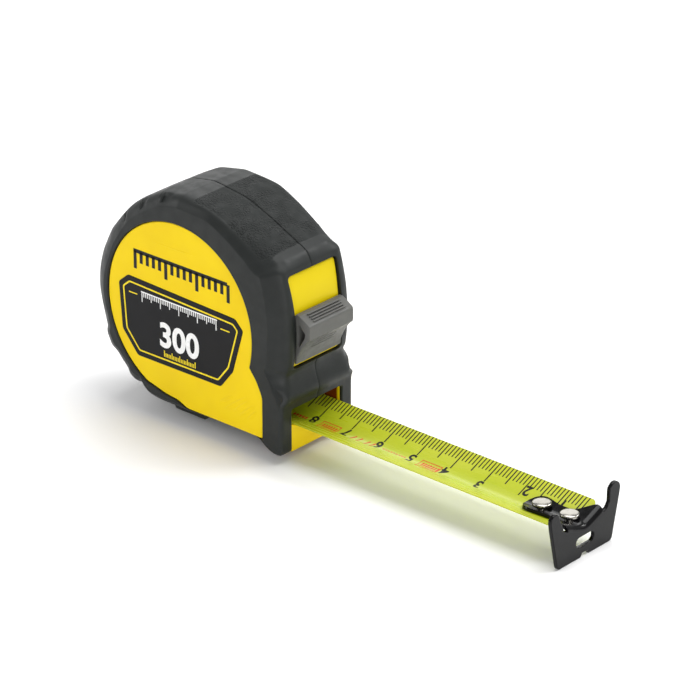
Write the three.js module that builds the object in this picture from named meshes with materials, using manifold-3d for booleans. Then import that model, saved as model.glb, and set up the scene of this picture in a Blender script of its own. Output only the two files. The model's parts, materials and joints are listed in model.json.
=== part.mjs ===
// Pocket tape measure with a sliding front lock, blade drawn out and locked.
// Millimetres, +Z up. The origin lies on the underside of the base foot, straight below the spool axis.
// +X points out of the mouth towards the hook, and the label side faces -Y.
import * as THREE from 'three';
import { mergeVertices } from 'three/addons/utils/BufferGeometryUtils.js';
import Module from 'manifold-3d';

const wasm = await Module();
wasm.setup();

// ---- driving dimensions ----
const GAP = 0.3; // clearance between neighbouring pieces
const SPOOL_Z = 26.7; // height of the spool axis above the base
const CASE_TOP = 57.3;
const FRONT_X = 32.3; // front face of the lower front block
const HALF_WIDTH = 12.8; // overmould, from the centre plane
const PANEL_Y = 12.4; // yellow side panels
const SHELL_Y = 10.8; // shell side under the rubber
const CAVITY_Y = 9.5; // inside faces of the shell sides
const RUBBER = 2.2; // overmould thickness round the rim
const SHELL_WALL = 1.5;
const BASE_RUBBER = 1.6; // top of the rubber along the base
const BASE_WALL = 1.0; // shell floor
const ARCH_Z = 0.9; // underside between the base foot and the front foot
const CORNER = { x: -5, y: 4, z: 6 }; // squares off the shell's lower front corner, down to its floor
const SEAM_Y = -GAP / 2; // inner edge of the label side's half
const PANEL_STEPS = 36; // facets of the side panel's round edge

const TRACK = { x: -17.4, z: 29.8, frame: 50.3, panelOut: 49.6, panelIn: 48.4 }; // curved lock track
const LOCK_TRAVEL = 10; // degrees round the track centre
const LEVER = { halfWidth: 7.5, plateHalf: 8.2, standOff: 0.7, pocketDepth: 2.5, toe: { x: 32.6, z: 23.0 } };
const NECK = { halfWidth: 1.5, low: 23.5, high: 26.0 };
const LOCK_PLATE = { inner: 44.9, outer: 46.3, low: 17.0, high: 33.5, halfWidth: 5.5, legHalf: 3.2 };
const PAD = { backX: 11, frontX: 15, halfWidth: 3.8, low: 6.25, high: 8.4 };
const WINDOW = { halfWidth: 8.5, low: 21.4, high: 44.4 };
const FOOT = { back: -5.4, front: 5.8, halfWidth: 9.4, slope: 0.9 };
const MOUTH = { halfWidth: 8.7, top: 11.2, lipDepth: 0.6, backX: 26.7, guideY: 8.55, guideWall: 0.6 };

const BLADE = { startX: 4, endX: 109.3, zeroX: 111.2, halfWidth: 8.1, thickness: 0.4 };
const CUP = { valleyZ: 4.65, rise: 0.423, round: 1.5 }; // cross-section of the blade
const COIL = { inner: 13.9, outer: 17.9, halfWidth: 8.4 };
const HUB = { outer: 13.6, inner: 12.5, web: 1.2, halfWidth: 8.4, bore: 3.9, boss: 5.2 };
const SPRING = { inner: 6.0, outer: 11.9, turns: 6, band: 0.45, halfWidth: 6.2 };
const POST = { radius: 3.5, halfWidth: 9.2, slot: 0.4 };

const HOOK = { thickness: 1.0, halfWidth: 12.4, footHalf: 9.7, bottom: -2.0, top: 12.4, earInner: 7.6 };
const HOOK_FLOAT = 1.0; // play of the hook on its rivets, equal to its thickness
const HOOK_SLOT = { halfWidth: 3.1, radius: 1.2, z: 2.0 };
const TONGUE = { thickness: 0.8, tipX: 95.2, tipRadius: 3.4, flare: 6.0, bendHalf: 6.5 };
const RIVET_X = [107.6, 99.7];
const RIVET = { head: 2.25, shank: 1.0, lower: 1.8, lowerDepth: 0.5 };
const RIVET_BOTTOM = CUP.valleyZ - BLADE.thickness - GAP - RIVET.lowerDepth;

const SCREW = { head: 1.5, headDepth: 1.2, shank: 0.75, boss: 1.7, hole: 1.05, length: 17 };
const SCREW_AT = [[14.8, 41.5], [-13.5, 42.7], [-14.8, 11.9], [24.0, 10.2]];
const CLIP_Y = HALF_WIDTH + 0.1; // inner face of the clip's fixed plate, clear of the panel
const CLIP = { halfWidth: 6.5, sheet: 0.8, baseLow: 34, baseHigh: 46, armY: 15.8, armLow: 11, screwZ: 40 };
const CLIP_SCREW = { shank: 1.0, hole: 1.3, head: 2.2, access: 2.7, length: 3.8 };
const BADGE = { sink: 0.5, proud: 0.15 };
const BEYOND = 40; // well outside the case, for cuts that run right out of it

// ---- colours ----
function finish(color, roughness, metalness = 0) {
  return new THREE.MeshStandardMaterial({ color, roughness, metalness });
}
const YELLOW = finish('#f2cf10', 0.35);
const RUBBER_BLACK = finish('#2b2d2f', 0.75);
const LABEL_BLACK = finish('#191a1b', 0.4);
const LEVER_GREY = finish('#7d7d7b', 0.5);
const BLADE_LIME = finish('#bcc42a', 0.3);
const HOOK_BLACK = finish('#141516', 0.3, 0.5);
const NICKEL = finish('#c9c6c0', 0.25, 1);
const SPRING_STEEL = finish('#6d7074', 0.35, 1);
const NYLON = finish('#d9d6cc', 0.5);
const PAD_RUBBER = finish('#3a3a3a', 0.9);

// ---- solids ----
function toSolid(geometry) {
  const bare = geometry.index ? geometry.toNonIndexed() : geometry.clone();
  bare.deleteAttribute('normal');
  bare.deleteAttribute('uv');
  const merged = mergeVertices(bare, 1e-4);
  const vertProperties = new Float32Array(merged.attributes.position.array);
  const triVerts = new Uint32Array(merged.index.array);
  return new wasm.Manifold(new wasm.Mesh({ numProp: 3, vertProperties, triVerts }));
}

function toGeometry(solid) {
  const mesh = solid.getMesh();
  const geometry = new THREE.BufferGeometry();
  geometry.setAttribute('position', new THREE.BufferAttribute(new Float32Array(mesh.vertProperties), 3));
  geometry.setIndex(Array.from(mesh.triVerts));
  geometry.computeVertexNormals();
  return geometry;
}

const shapeOf = (points) => new THREE.Shape(points.map(([a, b]) => new THREE.Vector2(a, b)));

// A shape drawn in x and z, running from y0 to y1.
function acrossY(shape, y0, y1, curveSegments = 12) {
  const geometry = new THREE.ExtrudeGeometry(shape, { depth: y1 - y0, bevelEnabled: false, curveSegments });
  geometry.rotateX(Math.PI / 2);
  return toSolid(geometry.translate(0, y1, 0));
}

// A shape drawn in y and z, running from x0 to x1.
function alongX(shape, x0, x1, curveSegments = 12) {
  const geometry = new THREE.ExtrudeGeometry(shape, { depth: x1 - x0, bevelEnabled: false, curveSegments });
  const turn = new THREE.Matrix4();
  turn.makeBasis(new THREE.Vector3(0, 1, 0), new THREE.Vector3(0, 0, 1), new THREE.Vector3(1, 0, 0));
  return toSolid(geometry.applyMatrix4(turn).translate(x0, 0, 0));
}

// A shape drawn in x and y, running from z0 to z1.
function upZ(shape, z0, z1, curveSegments = 12) {
  const geometry = new THREE.ExtrudeGeometry(shape, { depth: z1 - z0, bevelEnabled: false, curveSegments });
  return toSolid(geometry.translate(0, 0, z0));
}

function box(x0, x1, y0, y1, z0, z1) {
  const geometry = new THREE.BoxGeometry(x1 - x0, y1 - y0, z1 - z0);
  return toSolid(geometry.translate((x0 + x1) / 2, (y0 + y1) / 2, (z0 + z1) / 2));
}

// A profile of [radius, y] pairs turned round an axis along Y at (x, z).
function turned(profile, x, z, segments = 32) {
  const points = profile.map(([radius, y]) => new THREE.Vector2(radius, y));
  return toSolid(new THREE.LatheGeometry(points, segments).translate(x, 0, z));
}

// A profile of [radius, z] pairs turned round a vertical axis at (x, 0).
function turnedUp(profile, x, segments = 20) {
  const points = profile.map(([radius, z]) => new THREE.Vector2(radius, z));
  return toSolid(new THREE.LatheGeometry(points, segments).rotateX(Math.PI / 2).translate(x, 0, 0));
}

const discY = (radius, x, z, y0, y1, segments = 32) => (
  turned([[0, y0], [radius, y0], [radius, y1], [0, y1]], x, z, segments)
);

function mirrored(solid) {
  return solid.mirror([0, 1, 0]);
}

// ---- the case outline ----
// Each stretch of the outline carries the bevel that the overmould has towards its side faces.
// A bevel is the inset of the outline at each height of LEVELS above the centre plane.
const LEVELS = [0, 7.5, 9.3, 10.4, 11.4, 12.2, HALF_WIDTH];
const BEVEL = {
  rim: [0, 0.25, 0.9, 1.9, 3.0, 4.1, 5.6],
  crown: [0, 0, 0, 0.05, 0.45, 1.15, 2.6],
  front: [0, 0, 0, 0.4, 1.7, 3.2, 4.8],
  block: [0, 0, 0, 0, 0, 0.08, 0.8],
  base: [0, 0.2, 1.0, 1.4, 1.8, 2.2, 2.6],
  toe: [0, 0, 0.1, 0.6, 1.1, 1.8, 2.6],
};

// How much of the crown's squarer bevel the rim has, by the direction from the spool axis in degrees.
const CROWN_SHARE = [
  [38, 0], [44, 0.35], [57, 0.75], [71, 1], [90, 0.85], [130, 0.65], [140, 0.45], [160, 0],
];

function crownShare({ x, y }) {
  const angle = THREE.MathUtils.radToDeg(Math.atan2(y - SPOOL_Z, x));
  const next = CROWN_SHARE.findIndex(([degrees]) => angle >= 0 && angle < degrees);
  if (next < 1) return 0;
  const [[startAngle, start], [endAngle, end]] = [CROWN_SHARE[next - 1], CROWN_SHARE[next]];
  return THREE.MathUtils.mapLinear(angle, startAngle, endAngle, start, end);
}

const polar = (radius, degrees) => {
  const angle = THREE.MathUtils.degToRad(degrees);
  return new THREE.Vector2(radius * Math.cos(angle), SPOOL_Z + radius * Math.sin(angle));
};
const trackPoint = (radius, z) => new THREE.Vector2(TRACK.x + Math.sqrt(radius ** 2 - (z - TRACK.z) ** 2), z);
const spline = (points, steps) => new THREE.SplineCurve(points).getPoints(steps);

function trackArc(radius, zLow, zHigh, steps) {
  const points = [];
  for (let i = 0; i <= steps; i += 1) points.push(trackPoint(radius, zLow + ((zHigh - zLow) * i) / steps));
  return points;
}

// The outer outline, with its pads, ridge and feet. The plain one, without them, shapes the shell inside.
function caseOutline(plain) {
  const vec = (x, z) => new THREE.Vector2(x, z);
  const front = plain
    ? [
      ['block', [vec(FRONT_X, 0), vec(FRONT_X, 8), vec(FRONT_X, 13.5)]],
      ['front', [vec(31.8, 18.5)]],
      ['front', trackArc(TRACK.frame, 23, 41, 8)],
      ['rim', [vec(29.0, 47.9)]],
    ]
    : [
      ['block', [vec(FRONT_X, 0), vec(FRONT_X, 3.5), vec(FRONT_X, 7), vec(FRONT_X, 10.5)]],
      ['block', [vec(FRONT_X, 13.6), vec(32.8, 15.0)]],
      ['front', [vec(32.2, 16.6), vec(31.6, 19.2)]],
      ['front', trackArc(TRACK.frame, 21.6, 46.0, 14)],
      ['rim', [vec(29.4, 47.8), vec(27.4, 48.9)]],
    ];
  const rim = [
    ['rim', spline([vec(24.5, 50.3), vec(17.5, 53.5), vec(10, 56.15), vec(0, CASE_TOP)], 12)],
    ['rim', spline([polar(30.2, 103), polar(29.2, 114), polar(28.9, 126), polar(28.7, 138)], 8)],
    ['rim', spline([polar(29.2, 149), polar(29.8, 165), polar(30.1, 182), polar(30.1, 203)], 12)],
  ];
  const under = plain
    ? [
      ['rim', [polar(29.8, 215), polar(29.6, 227)]],
      ['toe', [vec(-12.5, 0), vec(-3, 0)]],
      ['base', [vec(9, 0), vec(24, 0)]],
    ]
    : [
      ['rim', [polar(31.0, 205.5), polar(31.1, 209), polar(31.2, 213), polar(30.3, 216)]],
      ['rim', [polar(30.1, 221), polar(29.9, 227), polar(30.6, 229.5), polar(30.3, 233.5)]],
      ['rim', [polar(28.9, 236.5)]],
      ['toe', [vec(-11.5, 1.5), vec(-8.2, ARCH_Z), vec(-3, ARCH_Z), vec(3, ARCH_Z)]],
      ['base', [vec(9, ARCH_Z), vec(14.5, ARCH_Z), vec(20, ARCH_Z), vec(23.5, ARCH_Z)]],
      ['toe', [vec(25.2, ARCH_Z), vec(27.0, 0), vec(29.6, 0)]],
    ];
  const places = [];
  for (const [kind, points] of [...front, ...rim, ...under]) {
    for (const point of points) places.push({ kind, point });
  }
  return places;
}
const OUTLINE = caseOutline(false);
const PLAIN_OUTLINE = caseOutline(true);

// The way in from a point of the outline: to the spool axis on the rim, to the track centre on the front.
function wayIn({ kind, point }) {
  if (kind === 'block') return new THREE.Vector2(-1, 0);
  if (kind === 'base' || kind === 'toe') return new THREE.Vector2(0, 1);
  const centre = kind === 'front' ? new THREE.Vector2(TRACK.x, TRACK.z) : new THREE.Vector2(0, SPOOL_Z);
  return centre.sub(point).normalize();
}

function bevelOf({ kind, point }, halfWidth) {
  let k = 1;
  while (k < LEVELS.length - 1 && LEVELS[k] < halfWidth) k += 1;
  const share = Math.min((halfWidth - LEVELS[k - 1]) / (LEVELS[k] - LEVELS[k - 1]), 1);
  const depth = (bevel) => THREE.MathUtils.lerp(bevel[k - 1], bevel[k], share);
  if (kind !== 'rim') return depth(BEVEL[kind]);
  return THREE.MathUtils.lerp(depth(BEVEL.rim), depth(BEVEL.crown), crownShare(point));
}

// An outline pulled in by its bevel at a half-width and by depth, but no lower than floor.
// Bevel and direction are eased over the neighbours, so that one stretch flows into the next.
function ringAt(outline, halfWidth, depth, floor) {
  return outline.map((place, i) => {
    const near = [-1, 0, 1].map((step) => outline[(i + step + outline.length) % outline.length]);
    const bevel = near.reduce((sum, other) => sum + bevelOf(other, halfWidth), 0) / near.length;
    const way = near.reduce((sum, other) => sum.add(wayIn(other)), new THREE.Vector2()).normalize();
    const point = place.point.clone().addScaledVector(way, bevel + depth);
    return new THREE.Vector2(point.x, Math.max(point.y, floor));
  });
}

// A solid skinned over rings of equal length, each [y, ring], closed at both ends.
function skinned(rings) {
  const count = rings[0][1].length;
  const positions = [];
  for (const [y, ring] of rings) {
    for (const point of ring) positions.push(point.x, y, point.y);
  }
  const index = [];
  for (let level = 0; level + 1 < rings.length; level += 1) {
    for (let i = 0; i < count; i += 1) {
      const a = level * count + i;
      const b = level * count + ((i + 1) % count);
      index.push(a, a + count, b, b, a + count, b + count);
    }
  }
  const last = (rings.length - 1) * count;
  for (const [a, b, c] of THREE.ShapeUtils.triangulateShape(rings[0][1], [])) index.push(a, b, c);
  for (const [a, b, c] of THREE.ShapeUtils.triangulateShape(rings[rings.length - 1][1], [])) {
    index.push(last + a, last + c, last + b);
  }
  const geometry = new THREE.BufferGeometry();
  geometry.setAttribute('position', new THREE.Float32BufferAttribute(positions, 3));
  geometry.setIndex(index);
  return toSolid(geometry);
}

// Half of the case's envelope, from the seam out to -sideY, sunk by depth below the outer surface.
function halfEnvelope(outline, depth, sideY, floor, seamY = SEAM_Y) {
  const heights = LEVELS.filter((height) => height < sideY - 0.2);
  heights.push(sideY);
  const rings = heights.map((height) => [Math.min(-height, seamY), ringAt(outline, height, depth, floor)]);
  rings[0][0] = seamY;
  return skinned(rings.reverse());
}

// Outline of the yellow side panel, grown by a margin.
function panelShape(margin) {
  const round = 23.2 + margin;
  const lobeX = 26.3 + margin;
  const lowZ = 3.1 - margin;
  const shape = new THREE.Shape();
  shape.moveTo(lobeX, lowZ);
  shape.lineTo(lobeX, 13.8);
  shape.lineTo(polar(round, -16).x, polar(round, -16).y);
  shape.absarc(0, SPOOL_Z, round, THREE.MathUtils.degToRad(-16), THREE.MathUtils.degToRad(242), false);
  shape.lineTo(-5.6, 4.9 - margin);
  shape.lineTo(-1.2, 4.4 - margin);
  shape.lineTo(1.9, lowZ);
  return shape;
}

// ---- the case ----
function screwPlaces(solid, make) {
  return SCREW_AT.reduce((body, [x, z]) => make(body, x, z), solid);
}

function windowCut() {
  const { halfWidth, low, high } = WINDOW;
  return box(FRONT_X - 8, BEYOND, -halfWidth, halfWidth, low, high);
}

function mouthCut() {
  const behind = MOUTH.guideY + MOUTH.guideWall + GAP;
  const backX = MOUTH.backX - 6;
  return box(backX, BEYOND, -MOUTH.halfWidth, MOUTH.halfWidth, -1, MOUTH.top)
    .add(box(backX, FRONT_X - MOUTH.lipDepth, -behind, behind, -1, MOUTH.top + GAP));
}

function footCut() {
  const { back, front, halfWidth } = FOOT;
  return box(back - GAP, front + GAP, -halfWidth - GAP, halfWidth + GAP, -1, BASE_RUBBER + 0.01);
}

// Rubber overmould of the label side: the outer envelope with the shell, panel, window and mouth left open.
function overmould() {
  let solid = halfEnvelope(OUTLINE, 0, HALF_WIDTH, 0);
  solid = solid.subtract(halfEnvelope(PLAIN_OUTLINE, RUBBER - GAP, SHELL_Y + GAP, BASE_RUBBER, 1));
  solid = solid.subtract(box(CORNER.x, FRONT_X - RUBBER, -SHELL_Y + CORNER.y, 1, BASE_RUBBER, CORNER.z));
  solid = solid.subtract(acrossY(panelShape(GAP), -HALF_WIDTH - 1, -SHELL_Y + CORNER.y, PANEL_STEPS));
  return solid.subtract(windowCut()).subtract(mouthCut()).subtract(footCut());
}

// Yellow shell of the label side, hollow behind its side wall.
function shell() {
  const floor = BASE_RUBBER + GAP;
  let solid = halfEnvelope(PLAIN_OUTLINE, RUBBER, SHELL_Y, floor);
  const frontX = FRONT_X - RUBBER - GAP;
  solid = solid.add(box(CORNER.x, frontX, -SHELL_Y + CORNER.y + GAP, SEAM_Y, floor, CORNER.z));
  solid = solid.add(acrossY(panelShape(0), -PANEL_Y, -SHELL_Y + 0.1, PANEL_STEPS));
  let cavity = halfEnvelope(PLAIN_OUTLINE, RUBBER + SHELL_WALL, CAVITY_Y, floor + BASE_WALL, 1);
  cavity = cavity.add(box(CORNER.x, frontX - SHELL_WALL, -CAVITY_Y, 1, floor + BASE_WALL, 2 * CORNER.z));
  solid = solid.subtract(cavity);
  const slotHalf = NECK.halfWidth + 2;
  const guideHalf = MOUTH.guideY + MOUTH.guideWall + GAP;
  solid = solid.subtract(box(FRONT_X - 6, BEYOND, -slotHalf, 1, WINDOW.low, WINDOW.high));
  solid = solid.subtract(box(MOUTH.backX, BEYOND, -guideHalf, 1, -1, MOUTH.top + GAP));
  solid = screwPlaces(solid, (body, x, z) => body.add(discY(SCREW.boss, x, z, -CAVITY_Y - 0.5, SEAM_Y, 16)));
  return screwPlaces(solid, (body, x, z) => body.subtract(discY(SCREW.hole, x, z, -CAVITY_Y + 0.5, 1, 16)));
}

function leftShell() {
  return shell().subtract(acrossY(badgeShape(GAP), -PANEL_Y - 1, -PANEL_Y + BADGE.sink));
}

// The far shell is the mirrored one, with the screws going right through it.
function rightShell() {
  let solid = mirrored(shell());
  solid = screwPlaces(solid, (body, x, z) => body.subtract(discY(SCREW.hole, x, z, -1, PANEL_Y + 1, 16)));
  const sink = PANEL_Y - SCREW.headDepth - GAP;
  const headHole = SCREW.head + GAP;
  solid = screwPlaces(solid, (body, x, z) => body.subtract(discY(headHole, x, z, sink, PANEL_Y + 1, 16)));
  return solid.subtract(discY(CLIP_SCREW.hole, 0, CLIP.screwZ, CAVITY_Y + GAP, PANEL_Y + 1, 16));
}

// One-piece foot that bridges the seam under the spool.
function baseFoot() {
  const { back, front, halfWidth, slope } = FOOT;
  const high = BASE_RUBBER - GAP;
  const profile = shapeOf([[back + slope, 0], [front - slope, 0], [front, high], [back, high]]);
  return acrossY(profile, -halfWidth, halfWidth);
}

// Outline of the badge, grown by a margin.
function badgeShape(margin) {
  const middle = { x: 0.2, z: 22.2 };
  const corners = [[13.5, 12.3], [17.9, 17.7], [20.0, 29.7], [17.2, 32.1]];
  const half = corners.map(([x, z]) => [x + margin, z + Math.sign(z - middle.z) * margin]);
  const right = half.map(([x, z]) => [middle.x + x, z]);
  const left = half.map(([x, z]) => [middle.x - x, z]).reverse();
  return shapeOf([...right, ...left]);
}

function badge() {
  return acrossY(badgeShape(0), -PANEL_Y - BADGE.proud, -PANEL_Y + BADGE.sink - GAP);
}

// Yellow panel that fills the front window and carries the slot for the lever's neck.
function windowPanel() {
  const low = WINDOW.low + GAP;
  const high = WINDOW.high - GAP;
  const front = trackArc(TRACK.panelOut, low, high, 16);
  const back = trackArc(TRACK.panelIn, low, high, 16).reverse();
  const half = WINDOW.halfWidth - GAP;
  const plate = acrossY(new THREE.Shape([...front, ...back]), -half, half);
  const slotHalf = NECK.halfWidth + GAP;
  const slotLow = NECK.low - 2 * GAP;
  const slotHigh = NECK.high + TRACK.panelOut * THREE.MathUtils.degToRad(LOCK_TRAVEL) + GAP;
  return plate.subtract(box(FRONT_X - 8, BEYOND, -slotHalf, slotHalf, slotLow, slotHigh));
}

// Yellow U-shaped guide in the mouth: the floor under the blade, a wall on each side, and a lip at the front
// that follows the hollow of the blade, with a notch that lets the rivets' lower ends in.
function mouthGuide() {
  const { guideY, guideWall, backX, lipDepth, halfWidth, top } = MOUTH;
  const outer = guideY + guideWall;
  const front = FRONT_X - lipDepth - GAP;
  const floorTop = BASE_RUBBER + GAP + BASE_WALL;
  const low = 0.25;
  let solid = box(backX + GAP, front, -outer, outer, low, top);
  solid = solid.subtract(box(backX, BEYOND, -guideY, guideY, floorTop, top + 1));
  const lipHalf = halfWidth - GAP;
  const lip = [[lipHalf, low], [-lipHalf, low]];
  for (let y = -lipHalf; y <= lipHalf; y += 1.2) lip.push([y, cupZ(y) - BLADE.thickness - GAP]);
  const rivetHalf = RIVET.lower + GAP;
  const rivetRoom = box(backX, BEYOND, -rivetHalf, rivetHalf, RIVET_BOTTOM - GAP, top);
  return solid.add(alongX(shapeOf(lip), front - 1, FRONT_X - GAP).subtract(rivetRoom));
}

// ---- the lock ----
// Thumb lever: a slanted shelf on top, a grip ramp below with a hollow in each side, a wide plate behind
// them, and a neck that reaches through the slot in the window panel.
function lockLever() {
  const { halfWidth, plateHalf, standOff, pocketDepth, toe } = LEVER;
  const face = new THREE.Shape(trackArc(TRACK.panelOut + standOff, toe.z, 35.3, 8));
  face.lineTo(33.9, 35.2);
  face.lineTo(36.7, 33.3);
  face.lineTo(36.9, 32.6);
  face.lineTo(36.75, 29.9);
  face.quadraticCurveTo(33.9, 26.9, toe.x, toe.z);
  const plateBack = trackArc(TRACK.panelOut + GAP, 22.9, 34.8, 8);
  const plateFront = trackArc(TRACK.panelOut + standOff + 0.2, 22.9, 34.8, 8).reverse();
  const plate = acrossY(new THREE.Shape([...plateBack, ...plateFront]), -plateHalf, plateHalf);
  let solid = acrossY(face, -halfWidth, halfWidth, 8).add(plate);
  const pocket = shapeOf([[34.0, 29.2], [35.2, 30.4], [35.6, 32.2], [34.2, 33.6]]);
  solid = solid.subtract(acrossY(pocket, -halfWidth - 1, -halfWidth + pocketDepth));
  solid = solid.subtract(acrossY(pocket, halfWidth - pocketDepth, halfWidth + 1));
  const neckIn = LOCK_PLATE.outer + GAP;
  const neckOut = TRACK.panelOut + 1;
  const neck = [trackPoint(neckIn, NECK.low), trackPoint(neckOut, NECK.low)];
  neck.push(trackPoint(neckOut, NECK.high), trackPoint(neckIn, NECK.high));
  return solid.add(acrossY(new THREE.Shape(neck), -NECK.halfWidth, NECK.halfWidth));
}

// Inner slide plate with the leg that pushes the brake pad down on the blade.
function lockPlate() {
  const { inner, outer, low, high, halfWidth, legHalf } = LOCK_PLATE;
  const front = trackArc(outer, low, high, 8);
  const back = trackArc(inner, low, high, 8).reverse();
  const plate = acrossY(new THREE.Shape([...front, ...back]), -halfWidth, halfWidth);
  const knee = [[27.4, 19.5], [26.0, 19.5], [24.6, 17.4]];
  const toe = [[PAD.backX, 10.2], [PAD.backX, PAD.high + GAP], [PAD.frontX + 0.2, PAD.high + GAP]];
  return plate.add(acrossY(shapeOf([...knee, ...toe, [27.4, 16.6]]), -legHalf, legHalf));
}

const brakePad = () => box(PAD.backX, PAD.frontX, -PAD.halfWidth, PAD.halfWidth, PAD.low, PAD.high);

// ---- the blade and spool ----
const cupZ = (y) => CUP.valleyZ + CUP.rise * (Math.hypot(y, CUP.round) - CUP.round);

// A band that follows the cup of the blade, between two heights above its upper face.
function cupBand(halfWidth, under, over, x0, x1) {
  const steps = 10;
  const upper = [];
  const lower = [];
  for (let i = 0; i <= steps; i += 1) {
    const y = -halfWidth + (2 * halfWidth * i) / steps;
    upper.push([y, cupZ(y) + over]);
    lower.unshift([y, cupZ(y) + under]);
  }
  return alongX(shapeOf([...upper, ...lower]), x0, x1);
}

function bladeStrip() {
  const solid = cupBand(BLADE.halfWidth, -BLADE.thickness, 0, BLADE.startX, BLADE.endX);
  const hole = RIVET.shank + GAP;
  const rod = [[0, 0], [hole, 0], [hole, HOOK.top], [0, HOOK.top]];
  return RIVET_X.reduce((strip, x) => strip.subtract(turnedUp(rod, x, 16)), solid);
}

function ringY(inner, outer, halfWidth, segments) {
  const profile = [[inner, -halfWidth], [outer, -halfWidth], [outer, halfWidth], [inner, halfWidth]];
  return turned([...profile, profile[0]], 0, SPOOL_Z, segments);
}

// Cup-shaped spool with a web on the label side.
function spoolHub() {
  const { outer, inner, web, halfWidth, bore, boss } = HUB;
  const low = -halfWidth;
  const profile = [[bore, low], [outer, low], [outer, halfWidth], [inner, halfWidth]];
  profile.push([inner, low + web], [boss, low + web], [boss, low + 2], [bore, low + 2]);
  return turned([...profile, profile[0]], 0, SPOOL_Z, 36);
}

function spoolCover() {
  const { inner, halfWidth, bore, web } = HUB;
  return ringY(bore, inner - GAP, web / 2, 32).translate(0, halfWidth - web / 2, 0);
}

// Flat spiral of spring band, wound from the post out to the hub.
function powerSpring() {
  const { inner, outer, turns, band, halfWidth } = SPRING;
  const steps = turns * 16;
  const spiral = (offset, i) => {
    const share = i / steps;
    const angle = share * turns * 2 * Math.PI;
    const radius = THREE.MathUtils.lerp(inner, outer, share) + offset;
    return [radius * Math.cos(angle), SPOOL_Z + radius * Math.sin(angle)];
  };
  const outside = [];
  const inside = [];
  for (let i = 0; i <= steps; i += 1) {
    outside.push(spiral(0, i));
    inside.unshift(spiral(-band, i));
  }
  return acrossY(shapeOf([...outside, ...inside]), -halfWidth, halfWidth);
}

// Fixed post that holds the inner end of the power spring, with the slot that the spring hooks into.
function springPost() {
  const { radius, halfWidth, slot } = POST;
  const post = discY(radius, 0, SPOOL_Z, -halfWidth, halfWidth, 24);
  return post.subtract(box(-slot, slot, -halfWidth + 2, halfWidth + 1, SPOOL_Z, SPOOL_Z + 2 * radius));
}

// ---- the hook ----
function hookPlateShape() {
  const { halfWidth, footHalf, bottom, top, earInner } = HOOK;
  const earZ = top - 2.1;
  const shape = new THREE.Shape();
  shape.moveTo(-1.2, bottom);
  shape.lineTo(-0.8, bottom + 0.9);
  shape.lineTo(1.2, bottom + 0.9);
  shape.lineTo(1.7, bottom);
  shape.lineTo(footHalf - 1.6, bottom);
  shape.quadraticCurveTo(footHalf, bottom, footHalf + 0.4, bottom + 1.8);
  shape.lineTo(halfWidth, earZ);
  shape.quadraticCurveTo(halfWidth, top, halfWidth - 1.7, top);
  shape.quadraticCurveTo(halfWidth - 3.2, top, halfWidth - 3.5, earZ);
  shape.lineTo(earInner, 7.2);
  shape.lineTo(-earInner, 7.2);
  shape.lineTo(-halfWidth + 3.5, earZ);
  shape.quadraticCurveTo(-halfWidth + 3.2, top, -halfWidth + 1.7, top);
  shape.quadraticCurveTo(-halfWidth, top, -halfWidth, earZ);
  shape.lineTo(-footHalf - 0.4, bottom + 1.8);
  shape.quadraticCurveTo(-footHalf, bottom, -footHalf + 1.6, bottom);
  const slot = new THREE.Path();
  const end = HOOK_SLOT.halfWidth - HOOK_SLOT.radius;
  slot.absarc(end, HOOK_SLOT.z, HOOK_SLOT.radius, -Math.PI / 2, Math.PI / 2, false);
  slot.absarc(-end, HOOK_SLOT.z, HOOK_SLOT.radius, Math.PI / 2, (3 * Math.PI) / 2, false);
  shape.holes.push(slot);
  return shape;
}

// Plan of the tongue on top of the blade: flared at the bend, waisted, with a round end.
function tonguePlan() {
  const { tipX, tipRadius, flare, bendHalf } = TONGUE;
  const centreX = tipX + tipRadius;
  const bendX = BLADE.zeroX + 0.6;
  const flareX = BLADE.zeroX - 1.6;
  const shape = new THREE.Shape();
  shape.moveTo(bendX, -bendHalf);
  shape.lineTo(bendX, bendHalf);
  shape.lineTo(flareX, flare);
  shape.bezierCurveTo(flareX - 3, flare - 2.2, centreX + 4.8, tipRadius - 1.4, centreX, tipRadius);
  shape.absarc(centreX, 0, tipRadius, Math.PI / 2, (3 * Math.PI) / 2, false);
  shape.bezierCurveTo(centreX + 4.8, 1.4 - tipRadius, flareX - 3, 2.2 - flare, flareX, -flare);
  return shape;
}

// A hole for a rivet, stretched towards +X by the hook's float.
function rivetSlot(x) {
  const radius = RIVET.shank + GAP;
  const shape = new THREE.Shape();
  shape.absarc(x, 0, radius, Math.PI / 2, (3 * Math.PI) / 2, false);
  shape.absarc(x + HOOK_FLOAT, 0, radius, -Math.PI / 2, Math.PI / 2, false);
  return upZ(shape, 0, HOOK.top, 6);
}

function hook() {
  const low = GAP;
  const high = GAP + TONGUE.thickness;
  const bandHalf = TONGUE.bendHalf + 0.1;
  const plate = alongX(hookPlateShape(), BLADE.zeroX, BLADE.zeroX + HOOK.thickness, 5);
  const above = cupBand(bandHalf, high, HOOK.top, BLADE.zeroX - 1, BLADE.zeroX + 2);
  const band = cupBand(bandHalf, low, high, TONGUE.tipX - 1, BLADE.zeroX + HOOK.thickness / 2);
  const tongue = band.intersect(upZ(tonguePlan(), 0, HOOK.top, 8));
  const solid = plate.subtract(above).add(tongue);
  return RIVET_X.reduce((piece, x) => piece.subtract(rivetSlot(x)), solid);
}

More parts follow.
